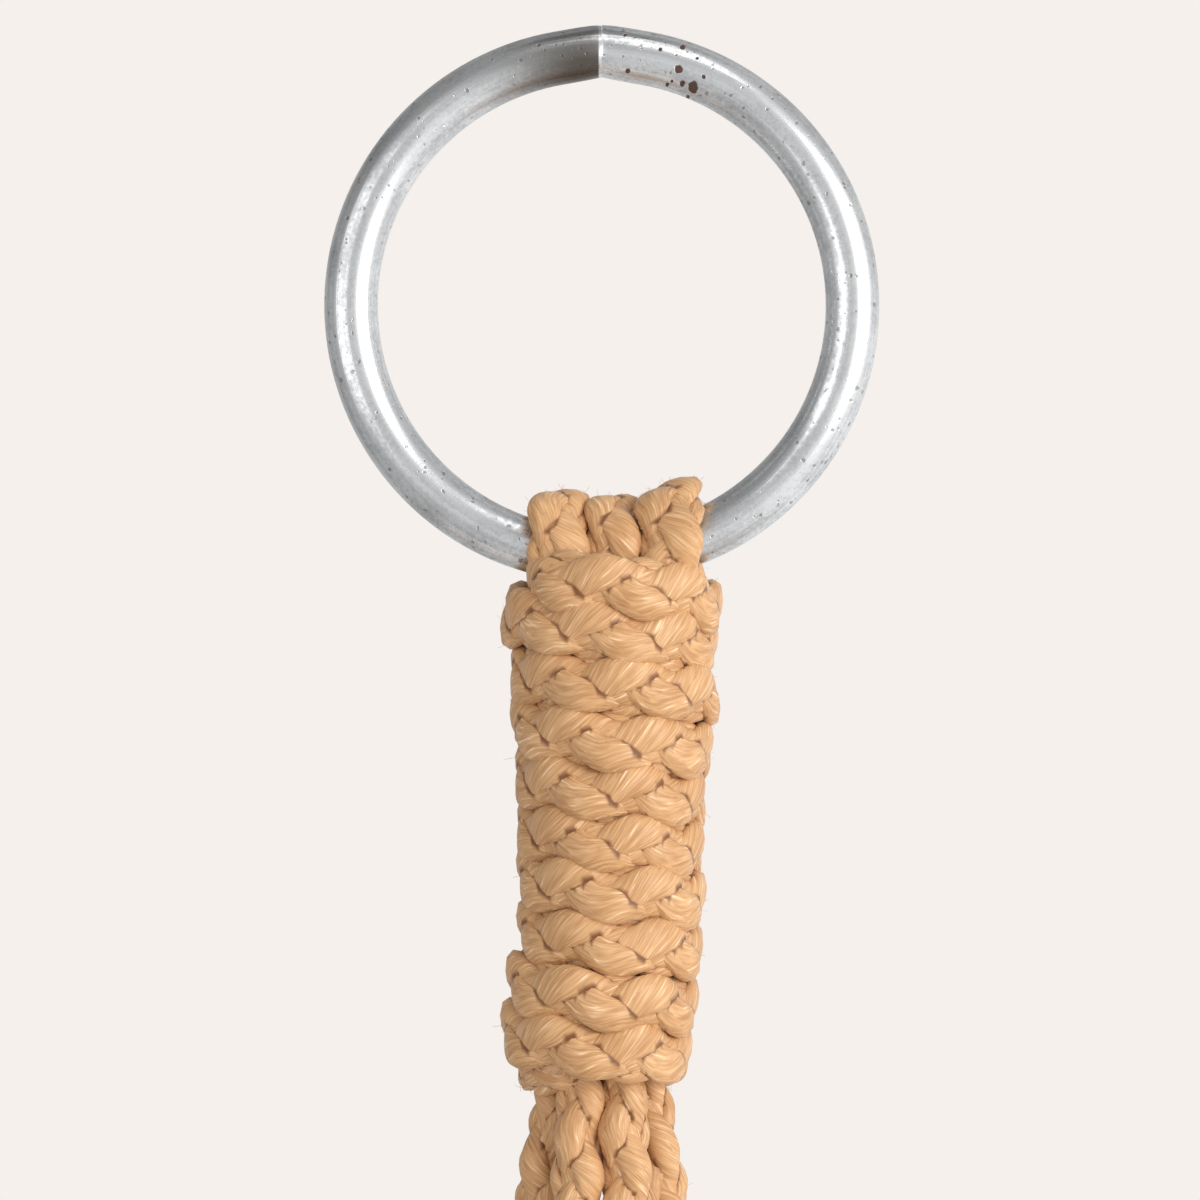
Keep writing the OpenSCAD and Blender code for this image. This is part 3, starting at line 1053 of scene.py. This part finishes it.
@dataclass
class Hanger:
    """The three main cords: loops, arms, knots, cradle legs, under legs and tails."""

    lay: Layout
    cord: bpy.types.Material
    knots: KnotShapes
    braid: Braid = field(default_factory=Braid)
    loop_places: tuple[float, ...] = (-4.8 * MM, 1.25 * MM, 7.5 * MM)
    loop_widths: tuple[float, ...] = (7.1 * MM, 6.5 * MM, 7.9 * MM)
    loop_thick: float = 3.9 * MM
    loop_reach: float = 1.6 * MM
    loop_gap: float = 0.12 * MM
    route_step: float = 0.275 * MM
    routes: list[tuple[Route, dict[str, int]]] = field(default_factory=list)

    # The two legs of each loop, front and back, as (arm, side)
    loop_legs = (((0, Side.A), (2, Side.B)), ((0, Side.B), (2, Side.A)),
                 ((1, Side.A), (1, Side.B)))

    def hex_angle(self, arm: int, side: Side) -> float:
        """Angle at which a leg leaves a wrap."""
        return self.lay.arm_angles[arm] + side.value * 30

    def loop_points(self, loop: int, front: bool, way: Waypoints) -> None:
        """Adds a quarter of a turn over the rod, from its top to one side and down.

        Args:
            loop: Which loop, from the left.
            front: Whether the leg hangs in front of the rod.
            way: Where to add the points.
        """
        lay = self.lay
        x = self.loop_places[loop]
        # Round the swing's axis, and clear of the rod, which rises to both sides
        centre = np.array([x, 0, lay.ring_z - lay.ring_r])
        out = np.array([0, -1.0 if front else 1.0, 0])
        rise = lay.ring_r - math.sqrt(lay.ring_r ** 2 - (abs(x) + self.loop_reach) ** 2)
        radius = lay.rod_r + rise + self.loop_thick / 2 + self.loop_gap
        flat = (self.loop_thick / lay.cord_d, self.loop_widths[loop] / lay.cord_d, 0.6)
        for turn in range(0, 91, 15):
            a = math.radians(turn)
            way.go(centre + radius * (math.cos(a) * UP + math.sin(a) * out), flat)
        way.go(centre + radius * out - UP * 3 * MM, flat)
        way.mark("loop_end")

    def arm_points(self, arm: int, side: Side, way: Waypoints) -> None:
        """Adds a leg's way through the upper wrap and down its arm, to the arm's knot.

        Args:
            arm: Which arm the leg belongs to.
            side: Which of the arm's two cords it is.
            way: Where to add the points.
        """
        lay, knots, s = self.lay, self.knots, side.value
        angle, hexed = lay.arm_angles[arm], self.hex_angle(arm, side)
        for z in (lay.wrap_top - 12 * MM, (lay.wrap_top + lay.wrap_bottom) / 2,
                  lay.wrap_bottom + 5 * MM):
            way.go(at(hexed, lay.hex_r, z), lay.squeezed)
        # The two side legs spread a little more than the others, and the two in front less
        spread = 0.7 * MM if abs(math.cos(math.radians(hexed))) > 0.9 else 0.0
        near = -0.3 * MM * s if arm == 0 else 0.0
        for r, over, aside, flat in (
                (lay.hex_r + 0.1 * MM, 1, 0.0, (0.80, 0.86, 0.2)),
                (lay.hex_r + 0.8 * MM, -4, near, (0.93, 1.02, 0.0)),
                (lay.free_hex_r - 0.2 * MM + spread, -12, near, (1.0, 1.04, 0.0))):
            way.go(at(hexed, r, lay.wrap_bottom + over * MM, aside), flat)
        knot = lay.arm_knots[arm]
        foot = at(angle, lay.free_hex_r, lay.wrap_bottom - 12 * MM)
        seat = Seat.facing_out(knot, foot - knot)
        upper = at(angle, lay.free_hex_r + 3.4 * MM, lay.wrap_bottom - 36 * MM, s * lay.aside)
        top = knot + seat.top * (knots.reach + 26 * MM) + seat.side * -s * lay.aside
        for point in (upper, (upper + top) / 2, top):
            way.go(point)
        self.knot_points(way, seat, knots.pair[0 if side is Side.B else 1], "arm_knot")

    def pot_points(self, arm: int, side: Side, way: Waypoints) -> float:
        """Adds a leg's way round the pot, from the arm's knot into the lower wrap.

        Args:
            arm: Which arm the leg belongs to.
            side: Which of the arm's two cords it is.
            way: Where to add the points.

        Returns:
            The angle at which the leg goes through the lower wrap.
        """
        lay, knots, s = self.lay, self.knots, side.value
        angle = lay.arm_angles[arm]
        # Over the rim, round the band and to the cradle knot at its side
        off_rim = lay.rim_r + lay.cord_r + lay.clear
        band = lay.rim_z - lay.band_h
        cradle = lay.cradle_knots[self.cradle_number(arm, side)]
        way.go(at(angle + s * 15.5, off_rim, lay.rim_z - lay.lip_r))
        way.go(at(angle + s * 28, off_rim, band))
        way.go(at(angle + s * 44, (off_rim + lay.wall_r(cradle[2]) + lay.cord_r) / 2
                  + 1.5 * MM, band + (cradle[2] + knots.reach - band) * 0.55))
        cradle = cradle + unit(cradle * np.array([1, 1, 0])) * 3 * MM
        self.knot_points(way, Seat.facing_out(cradle, UP), knots.pair[1 if s > 0 else 0],
                         "cradle_knot")
        # Down the wall, round the foot and in to the lower wrap
        under = angle + s * 60
        bend = lay.lip_r + lay.cord_r + lay.clear
        for turn in (0, -35, -70):
            a = math.radians(turn)
            way.go(at(under - s * 3.6, lay.foot_r - lay.lip_r + bend * math.cos(a),
                      lay.foot_z + lay.lip_r + bend * math.sin(a)))
        way.go(at(under - s * 14, (lay.foot_r + lay.free_hex_r) / 2,
                  (lay.foot_z + lay.lower_top) / 2))
        lower = under - s * 30
        way.go(at(lower, lay.free_hex_r + 2.2 * MM, lay.lower_top + 3 * MM))
        way.go(at(lower, lay.hex_r, lay.lower_top - 4 * MM), lay.squeezed)
        way.go(at(lower, lay.hex_r, (lay.lower_top + lay.lower_bottom) / 2), lay.squeezed)
        return lower

    def cradle_number(self, arm: int, side: Side) -> int:
        """Which cradle knot an arm's cord goes to, from 0 to 2."""
        return arm if side is Side.B else (arm + 2) % 3

    def knot_points(self, way: Waypoints, seat: Seat, shape: np.ndarray, name: str) -> None:
        """Adds one cord's way through a knot, and marks its two ends."""
        for number, point in enumerate(seat.place(shape)):
            way.go(point, (0.97, 0.97, 0.0))
            if number == 1:
                way.mark(name + "_start")
        way.mark(name + "_end")

    def tail_number(self, angle: float) -> int:
        """The number of the tail that hangs at an angle, from 1 to 6."""
        return int(round(angle / 60 - 1)) % 6 + 1

    def tail_points(self, way: Waypoints, angle: float) -> None:
        """Adds a tail's way from the lower wrap to its loose end."""
        lay = self.lay
        number = self.tail_number(angle) - 1
        for out, aside, down in TAIL_ROUTE:
            if -down > TAIL_DROP[number] - TAIL_FREE:
                break
            share = lay.squeezed[0] if down == 0 else 1.0
            way.go(at(angle, TAIL_HEX_R + out * MM, lay.lower_bottom + down * MM,
                      aside * MM), (share, share, 0.0))
            if down == 0:
                way.mark("tail_start")
        seat = Seat.facing_out(lay.tail_knots[number] + UP * TAIL_LOOSE_END / 2, UP)
        self.knot_points(way, seat, self.knots.single[0], "tail_knot")

    def half_cord(self, loop: int, front: bool) -> Waypoints:
        """Collects the points of half a main cord.

        Args:
            loop: Which loop the cord makes.
            front: Which of its two halves.

        Returns:
            The points from the top of the loop to the end of the tail.
        """
        way = Waypoints()
        self.loop_points(loop, front, way)
        arm, side = self.loop_legs[loop][0 if front else 1]
        self.arm_points(arm, side, way)
        self.tail_points(way, self.pot_points(arm, side, way))
        return way

    def lay_out(self) -> None:
        """Works out the route of each main cord, with its pieces' ends."""
        for loop, x in enumerate(self.loop_places):
            front, back = (self.half_cord(loop, which) for which in (True, False))
            middle = len(back.points) - 1
            points = np.array(back.points[::-1] + front.points[1:])
            flats = np.array(back.flats[::-1] + front.flats[1:])
            samples, along = smooth_curve(points, self.route_step)
            samples = softened(samples, 4)
            step = along[-1] / (len(samples) - 1)
            s = np.arange(len(samples)) * step
            squash = np.stack([np.interp(s, along, flats[:, k]) for k in range(3)], axis=1)
            top = int(round(along[middle] / step))
            lean = math.asin(x / self.lay.ring_r)
            # A loop lies a little more level than the rod under it
            level = np.array([-math.sin(lean * 0.75), 0, math.cos(lean * 0.75)])
            facing = np.vstack([carried(samples[top::-1], level)[::-1],
                                carried(samples[top:], level)[1:]])
            marks = {f"{half} {name}": int(round(along[middle + way * i] / step))
                     for half, way, legs in (("back", -1, back), ("front", 1, front))
                     for name, i in legs.marks.items()}
            marks |= {"back end": 0, "front end": len(samples) - 1}
            self.routes.append((Route(samples, facing, squash, step), marks))

    def stretch(self, loop: int, start: str, end: str) -> tuple[Route, int, int]:
        """A main cord's route with the samples at two marks, in order."""
        route, marks = self.routes[loop]
        first, last = sorted((marks[start], marks[end]))
        return route, first, last

    def make(self, node: str, stretches: Sequence[tuple[Route, int, int]],
             fineness: Fineness = Fineness.PLAIN) -> bpy.types.Object:
        """Weaves a piece, has it ride on the hanger and stand for its CAD node."""
        piece = self.braid.weave("braid_" + node, stretches, fineness, self.cord)
        settle(piece, "hanger", [node])
        return piece

    def build(self) -> None:
        """Weaves the loops, the legs, the knots and the tails."""
        self.lay_out()
        loops = [self.make(f"loop_{name}",
                           [self.stretch(loop, "back loop_end", "front loop_end")],
                           Fineness.CLOSE)
                 for loop, name in enumerate(("left", "middle", "right"))]
        arms: list[bpy.types.Object] = []
        knotted: dict[str, list] = {f"{kind}_knot_{n + 1}": [] for n in range(3)
                                    for kind in ("arm", "cradle")}
        for loop, legs in enumerate(self.loop_legs):
            for half, (arm, side) in zip(("front", "back"), legs):
                def part(start: str, end: str) -> tuple[Route, int, int]:
                    """A stretch of this half of the cord."""
                    return self.stretch(loop, f"{half} {start}", f"{half} {end}")

                knot = self.cradle_number(arm, side)
                leg = f"{arm + 1}{'a' if side is Side.A else 'b'}"
                under = f"{knot + 1}{'a' if side is Side.B else 'b'}"
                tail = self.tail_number(self.hex_angle(arm, side))
                arms.append(self.make(f"arm_{leg}", [part("loop_end", "arm_knot_start")],
                                      Fineness.PLAIN if arm else Fineness.CLOSE))
                knotted[f"arm_knot_{arm + 1}"].append(part("arm_knot_start", "arm_knot_end"))
                self.make(f"cradle_leg_{leg}", [part("arm_knot_end", "cradle_knot_start")])
                knotted[f"cradle_knot_{knot + 1}"].append(
                    part("cradle_knot_start", "cradle_knot_end"))
                self.make(f"under_leg_{under}", [part("cradle_knot_end", "tail_start")])
                self.hang_tail(tail, part("tail_start", "tail_knot_start"),
                               part("tail_knot_start", "end"))
                LOG.info("leg %s, under leg %s, tail %d", leg, under, tail)
        for node, stretches in knotted.items():
            self.make(node, stretches)
        settle(stray_fibres("fuzz_loops", loops, 420, 11), "hanger", [])
        settle(stray_fibres("fuzz_arms", arms, 600, 12), "hanger", [])

    def hang_tail(self, number: int, hanging: tuple[Route, int, int],
                  knotted: tuple[Route, int, int]) -> None:
        piece = self.make(f"tail_{number}", [hanging])
        knot = self.make(f"tail_knot_{number}", [knotted])
        route, first, last = hanging
        line = np.vstack([route.points[first:last + 1:12], route.points[last]])
        if line[0][2] < line[-1][2]:
            line = line[::-1]


def settle(piece: bpy.types.Object, body: str, nodes: Iterable[str]) -> None:
    """Has a finished piece ride on its body and stand for CAD nodes, which it hides."""
    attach(piece, body)
    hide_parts(*nodes)


@dataclass
class Wrap:
    """A cord wound round the six legs, with both ends tucked in under the turns."""

    lay: Layout
    material: bpy.types.Material
    braid: Braid = field(
        default_factory=lambda: Braid(pitch=18.5 * MM, lift=0.45 * MM, seed=31))
    step: float = 0.275 * MM
    turn_step: float = 2.0
    tuck_turn: float = 42.0

    def wind(self, angles: np.ndarray, radii: np.ndarray, heights: np.ndarray,
             shift: np.ndarray, flat: tuple[float, float, float]) -> Route:
        """Winds a cord.

        Args:
            angles: Angle round the axis at each sample, in degrees.
            radii: Distance of the cord's middle from the turns' middle.
            heights: Height of the cord's middle.
            shift: How far the turns' middle lies to the right of the axis.
            flat: The cord's thickness, width and squareness.

        Returns:
            The route, facing outward.
        """
        rad = np.radians(angles)
        points = np.stack([shift + radii * np.cos(rad), radii * np.sin(rad), heights], axis=1)
        points, s, _, around = resampled(points, lambda total: int(round(total / self.step)),
                                         rad)
        tangents = unit(np.gradient(points, axis=0))
        out = np.stack([np.cos(around), np.sin(around), around * 0], axis=1)
        facing = unit(out - tangents * np.sum(out * tangents, 1, keepdims=True))
        return Route(points, facing, np.tile(flat, (len(s), 1)), s[1])

    def tuck_ends(self, angles: np.ndarray, radii: np.ndarray, heights: np.ndarray,
                  until: float, over: float, dive: tuple[float, float],
                  shift: tuple[float, float]) -> tuple[np.ndarray, np.ndarray]:
        """Has both ends of a winding dive in among the legs.

        Args:
            angles: Angle round the axis at each sample, in degrees.
            radii: Distance of the cord's middle from the turns' middle.
            heights: Height of the cord's middle.
            until: Angle up to which the start is diving.
            over: Degrees that the start takes for it.
            dive: How far in the start and the end go.
            shift: How far down the start and how far up the end goes.

        Returns:
            The new distances and heights.
        """
        start = np.clip((until - angles) / over, 0, 1)
        end = np.clip((angles - angles[-1]) / self.tuck_turn + 1, 0, 1)
        return (radii - start ** 1.5 * dive[0] - end ** 1.5 * dive[1],
                heights - start ** 1.3 * shift[0] + end ** 1.3 * shift[1])

    def upper(self) -> Route:
        """The upper wrap: ten turns, fuller at the top and at the second last turn."""
        lay = self.lay
        first_z, pitch = lay.wrap_top + 0.7 * MM, 5.69 * MM
        angles = np.arange(-168.0, -90 + 360 * 9 + 325, self.turn_step)
        turns = (angles + 90) / 360
        rng = np.random.default_rng(5)
        sway = sum(a * MM * np.sin(turns * f * 6.283 + p) for a, f, p in zip(
            (0.15, 0.12, 0.08), (0.23, 0.61, 1.37), rng.uniform(0, 6.28, 3)))
        heights = first_z - pitch * turns + sway
        heights = heights + 1.1 * MM * np.exp(-((turns - 0.74) / 0.2) ** 2)
        # The first turn dips where it passes under the rod, at the left and at the right
        aside = (angles + 90) % 180 - 90
        dip = np.exp(-(aside / 27) ** 2)
        heights = heights - 1.5 * MM * dip * np.clip(1.0 - turns, 0, 1) ** 0.5
        depth = (lay.wrap_top - heights) / (lay.wrap_top - lay.wrap_bottom)
        at_depth = (0, 0.06, 0.12, 0.29, 0.42, 0.72, 0.85, 0.93, 1)
        radii = MM * np.interp(depth, at_depth, (10.4, 10.4, 9.7, 9.7, 8.6, 8.6, 9.2, 8.7, 7.6))
        shift = MM * np.interp(depth, at_depth, (1.05, 1.05, 1.4, 1.4, 1, 1, -0.45, -0.3, 0))
        radii = radii + 0.14 * MM * np.sin(turns * 3.1 + 1.0)
        rise = np.clip((turns - 9.15) / 0.6, 0, 1)
        heights = heights + 2.1 * MM * rise * rise * (3 - 2 * rise)
        radii, heights = self.tuck_ends(angles, radii, heights, -124, 36,
                                        (4.2 * MM, 3.6 * MM), (2.2 * MM, 1.4 * MM))
        return self.wind(angles, radii, heights, shift, (4.2 / 6, 7.3 / 6, 0.7))

    def lower(self) -> Route:
        """The lower wrap: five turns."""
        first_z, pitch = self.lay.lower_top - 3.4 * MM, 5.115 * MM
        angles = np.arange(20.0, 20 + 360 * 5 - 10, self.turn_step)
        turns = (angles - 20) / 360
        heights = first_z - pitch * turns + 0.2 * MM * np.sin(turns * 4.3)
        radii = 8.75 * MM + 0.12 * MM * np.sin(turns * 2.7 + 2)
        radii, heights = self.tuck_ends(angles, radii, heights, 60, 40,
                                        (3.6 * MM, 3.6 * MM), (1.6 * MM, 1.6 * MM))
        return self.wind(angles, radii, heights, angles * 0, (4.2 / 6, 6.6 / 6, 0.7))

    def build(self) -> None:
        """Weaves both wraps."""
        for name, route, fineness, count in (
                ("top_wrap", self.upper(), Fineness.CLOSE, 1900),
                ("lower_wrap", self.lower(), Fineness.PLAIN, 500)):
            piece = self.braid.weave("braid_" + name, [(route, 0, len(route.points) - 1)],
                                     fineness, self.material)
            settle(piece, "hanger", [name])
            fibres = stray_fibres("fuzz_" + name, [piece], count, 3)
            settle(fibres, "hanger", [])
            LOG.info("%s: %.0f mm of cord", name, len(route.points) * route.step / MM)


# ---- ring ----


def start_circle(name: str, vertices: int, radius: float, location: Sequence[float],
                 tilt: float = 0.0, fill: str = "NOTHING") -> None:
    """Adds a circle to model a piece from.

    Args:
        name: The piece that it's for.
        vertices: Number of its corners.
        radius: Its radius.
        location: Its middle.
        tilt: Angle by which it's turned about the Y axis, in degrees.
        fill: How it's filled.
    """
    LOG.info("modelling %s", name)
    bpy.ops.object.select_all(action="DESELECT")
    bpy.ops.mesh.primitive_circle_add(vertices=vertices, radius=radius, fill_type=fill,
                                      location=location, rotation=(0, math.radians(tilt), 0))
    bpy.ops.object.transform_apply(location=True, rotation=True, scale=True)


def select_where(keep: Callable[[Any], bool]) -> None:
    """Selects the corners for which a test holds, in edit mode."""
    bpy.ops.mesh.select_all(action="DESELECT")
    bpy.ops.object.mode_set(mode="OBJECT")
    for vertex in bpy.context.object.data.vertices:
        vertex.select = bool(keep(vertex))
    bpy.ops.object.mode_set(mode="EDIT")


def finish_mesh(name: str, material: bpy.types.Material, angle: float) -> bpy.types.Object:
    """Ends the modelling of a mesh: outward faces, placed at the origin and smoothly shaded.

    Args:
        name: The piece's name.
        material: Its finish.
        angle: Edges sharper than this stay sharp, in degrees.

    Returns:
        The piece.
    """
    bpy.ops.mesh.select_all(action="SELECT")
    bpy.ops.mesh.remove_doubles(threshold=1e-6)
    bpy.ops.mesh.normals_make_consistent(inside=False)
    bpy.ops.object.mode_set(mode="OBJECT")
    bpy.ops.object.transform_apply(location=True, rotation=True, scale=True)
    bpy.ops.object.shade_smooth_by_angle(angle=math.radians(angle))
    piece = bpy.context.object
    piece.name = piece.data.name = name
    piece.data.materials.clear()
    piece.data.materials.append(material)
    return piece


@dataclass
class Ring:
    """The ring: a rod bent round, with straight ends butt-welded at the top."""

    lay: Layout
    material: bpy.types.Material
    half_weld: float = 10.0
    steps: int = 150
    sides: int = 40

    def build(self) -> None:
        """Spins a circle round the ring's middle, draws its ends together and welds them."""
        lay = self.lay
        place, _ = self.end_frame(-1)
        start_circle("ring", self.sides, lay.rod_r, place, -90 - self.half_weld)
        bpy.ops.object.mode_set(mode="EDIT")
        bpy.ops.mesh.select_all(action="SELECT")
        bpy.ops.mesh.spin(steps=self.steps, angle=math.radians(360 - 2 * self.half_weld),
                          center=(0, 0, lay.ring_z), axis=(0, 1, 0))
        # The last ring of corners is left selected: it is the right-hand end
        self.draw_end(1)
        self.pick_end(-1)
        self.draw_end(-1)
        select_where(lambda vertex: abs(vertex.co[0]) < 0.04 * MM
                     and vertex.co[2] > lay.ring_z + lay.ring_r * 0.8)
        bpy.ops.mesh.bridge_edge_loops()
        piece = finish_mesh("zinc_ring", self.material, 50)
        settle(piece, "ring", ["ring"])

    def end_frame(self, side: int) -> tuple[np.ndarray, np.ndarray]:
        """One end of the bent rod.

        Args:
            side: 1 for the right-hand end, -1 for the left-hand one.

        Returns:
            The end's middle, and the direction along the rod, anticlockwise.
        """
        a = math.radians(90 - side * self.half_weld)
        out = np.array([math.cos(a), 0, math.sin(a)])
        return (out * self.lay.ring_r + UP * self.lay.ring_z,
                np.array([-math.sin(a), 0, math.cos(a)]))

    def pick_end(self, side: int) -> None:
        """Selects the ring of corners at one end of the bent rod."""
        place, along = self.end_frame(side)

        def is_there(vertex: Any) -> bool:
            """Whether a corner lies on the end's circle."""
            away = np.array(vertex.co) - place
            return (abs(np.dot(away, along)) < 1e-5
                    and np.linalg.norm(away) < self.lay.rod_r * 1.1)

        select_where(is_there)

    def draw_end(self, side: int) -> None:
        """Extrudes the selected end straight up to the weld, necked in a little.

        Args:
            side: 1 for the right-hand end, -1 for the left-hand one.
        """
        start, along = self.end_frame(side)
        reach = self.lay.ring_r * math.tan(math.radians(self.half_weld)) * side
        place = start
        for share, scale in ((0.3, 1.0), (0.6, 0.995), (0.85, 0.985), (0.96, 0.98)):
            target = start + along * reach * share
            bpy.ops.mesh.extrude_region_move(
                TRANSFORM_OT_translate={"value": tuple(target - place)})
            bpy.ops.transform.resize(value=(scale, scale, scale),
                                     center_override=tuple(target))
            place = target
        # The last edge is cut square in the ring's mid plane, a little off the other end
        bpy.ops.mesh.extrude_region_move(
            TRANSFORM_OT_translate={"value": (0, -0.05 * MM * side, 0.03 * MM * side)})
        bpy.ops.transform.resize(value=(0, 1, 1), center_override=(side * 0.02 * MM, 0, 0))


# ---- pot ----


@dataclass
class Pot:
    """The clay pot: a thrown wall with a rim band, rounded edges and a drain hole."""

    lay: Layout
    material: bpy.types.Material
    sides: int = 120
    bevel_steps: int = 5

    def profile(self) -> list[tuple[float, float]]:
        """Radius and height along the pot's section, from the drain hole round to it again."""
        lay = self.lay
        height = lay.rim_z - lay.foot_z
        neck = lay.rim_r - lay.band_step
        corners = (
            (lay.drain_r, 0.0, 0.8), (lay.foot_r, 0.0, 2.2), (neck, height - lay.band_h, 1.0),
            (lay.rim_r, height - lay.band_h, 1.6), (lay.rim_r, height, 2.2),
            (lay.rim_r - lay.pot_wall, height, 2.0), (neck - lay.pot_wall, height - lay.band_h, 9),
            (lay.foot_r - lay.pot_wall, lay.pot_wall, 5.0),
            (lay.drain_r, lay.pot_wall, 0.8))
        out = []
        points = [np.array([r, z + lay.foot_z]) for r, z, _ in corners]
        for i, (_, _, round_mm) in enumerate(corners):
            here, before, after = points[i], points[i - 1], points[(i + 1) % len(points)]
            to_before, to_after = unit(before - here), unit(after - here)
            half = math.acos(float(np.clip(np.dot(to_before, to_after), -1, 1))) / 2
            cut = round_mm * MM / math.tan(half)
            start, end = here + to_before * cut, here + to_after * cut
            for t in np.linspace(0, 1, self.bevel_steps + 1):
                out.append(tuple((1 - t) ** 2 * start + 2 * t * (1 - t) * here + t * t * end))
        return out

    def build(self) -> None:
        """Draws a circle up along the section, and joins its last edge to its first."""
        line = self.profile()
        start_circle("pot", self.sides, line[0][0], (0, 0, line[0][1]))
        bpy.ops.object.mode_set(mode="EDIT")
        bpy.ops.mesh.select_all(action="SELECT")
        for (r0, z0), (r1, z1) in zip(line, line[1:]):
            bpy.ops.mesh.extrude_region_move(
                TRANSFORM_OT_translate={"value": (0, 0, z1 - z0)})
            bpy.ops.transform.resize(value=(r1 / r0, r1 / r0, 1), center_override=(0, 0, z1))
        last = self.sides * (len(line) - 1)
        select_where(lambda vertex: not self.sides <= vertex.index < last)
        bpy.ops.mesh.bridge_edge_loops()
        piece = finish_mesh("clay_pot", self.material, 40)
        settle(piece, "pot", ["pot"])


# ---- studio ----


@dataclass
class Studio:
    """Pale floor, soft lights and the camera."""

    pale: Colour = (0.914, 0.871, 0.840)
    view_w: float = 0.134
    lens: float = 150.0
    sensor: float = 36.0
    floor_gap: float = 0.012

    def camera(self) -> None:
        """Sets the camera up level with the upper wrap, straight in front."""
        data = bpy.data.cameras.new("camera")
        data.lens, data.sensor_width, data.clip_start = self.lens, self.sensor, 0.01
        camera = placed("camera", data)
        camera.location = (-0.2 * MM, -self.view_w * self.lens / self.sensor, -58.3 * MM)
        camera.rotation_euler = (math.pi / 2, 0, 0)
        bpy.context.scene.camera = camera

    def world(self) -> None:
        """A pale surround, which lights the piece from the right more than from the left."""
        world = bpy.data.worlds.new("surround")
        bpy.context.scene.world = world
        world.use_nodes = True
        tree = Tree(world.node_tree)
        seen = tree.add("LightPath")["Is Camera Ray"]
        x, _, z = tree.split(tree.add("TexCoord")["Generated"])
        across = tree.times(tree.ramp(x, -0.8, 0.85, 0.46, 1.0),
                            tree.ramp(z, 0.955, 0.985, 1.0, 0.12))
        across = tree.times(across, tree.ramp(z, -0.1, 0.6, 1.0, 0.6))
        grey = tree.add("CombineColor", {0: across, 1: across, 2: across})[0]
        tree.feed(world.node_tree.nodes["Background"],
                  {"Color": tree.mix(seen, grey, self.pale), "Strength": 1.0})

    def light(self, name: str, place: Sequence[float], size: float, power: float) -> None:
        """Adds a square soft light that looks at the upper wrap."""
        data = bpy.data.lights.new(name, "AREA")
        data.size, data.energy = size, power
        light = placed(name, data)
        light.location = place
        way = np.array((0, 0, -0.06)) - np.array(place)
        light.rotation_euler = (math.acos(-way[2] / np.linalg.norm(way)), 0,
                                math.atan2(way[1], way[0]) - math.pi / 2)

    def floor(self) -> None:
        """A pale round floor under the tails."""
        low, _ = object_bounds()
        start_circle("floor", 96, 0.7, (0, 0, low[2] - self.floor_gap), fill="NGON")
        floor = bpy.context.object
        floor.name = floor.data.name = "floor"
        material, tree, shader = new_finish("pale_floor")
        tree.feed(shader, {"Base Color": (*self.pale, 1), "Roughness": 0.8})
        floor.data.materials.append(material)
        floor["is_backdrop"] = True

    def build(self) -> None:
        """Makes the surround, the lights and the floor."""
        bpy.context.scene.view_settings.view_transform = "Standard"
        self.world()
        self.light("key", (0.95, -0.8, 0.14), 0.8, 10.5)
        self.light("fill", (-0.8, -0.9, 0.1), 0.9, 3.4)
        self.light("top", (0.15, -0.5, 0.8), 0.5, 1.2)
        self.floor()


def main() -> None:
    """Builds the camera, the cords, the wraps, the ring, the pot and the studio."""
    logging.basicConfig(level=logging.INFO, format="%(name)s: %(message)s")
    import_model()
    lay = Layout.measure()
    studio = Studio()
    studio.camera()
    filaments, speckles = filament_group(), speckle_group()
    cord = CordFinish("cord").build(filaments)
    wrap_cord = CordFinish("wrap_cord").build(filaments)
    zinc = ZincFinish("zinc").build(speckles, lay.ring_z)
    clay = ClayFinish("clay").build(speckles, lay.foot_z, lay.rim_z - lay.foot_z)
    Hanger(lay, cord, KnotShapes.tightened(lay.cord_d)).build()
    Wrap(lay, wrap_cord).build()
    Ring(lay, zinc).build()
    Pot(lay, clay).build()
    studio.build()


if __name__ == "__main__":
    main()
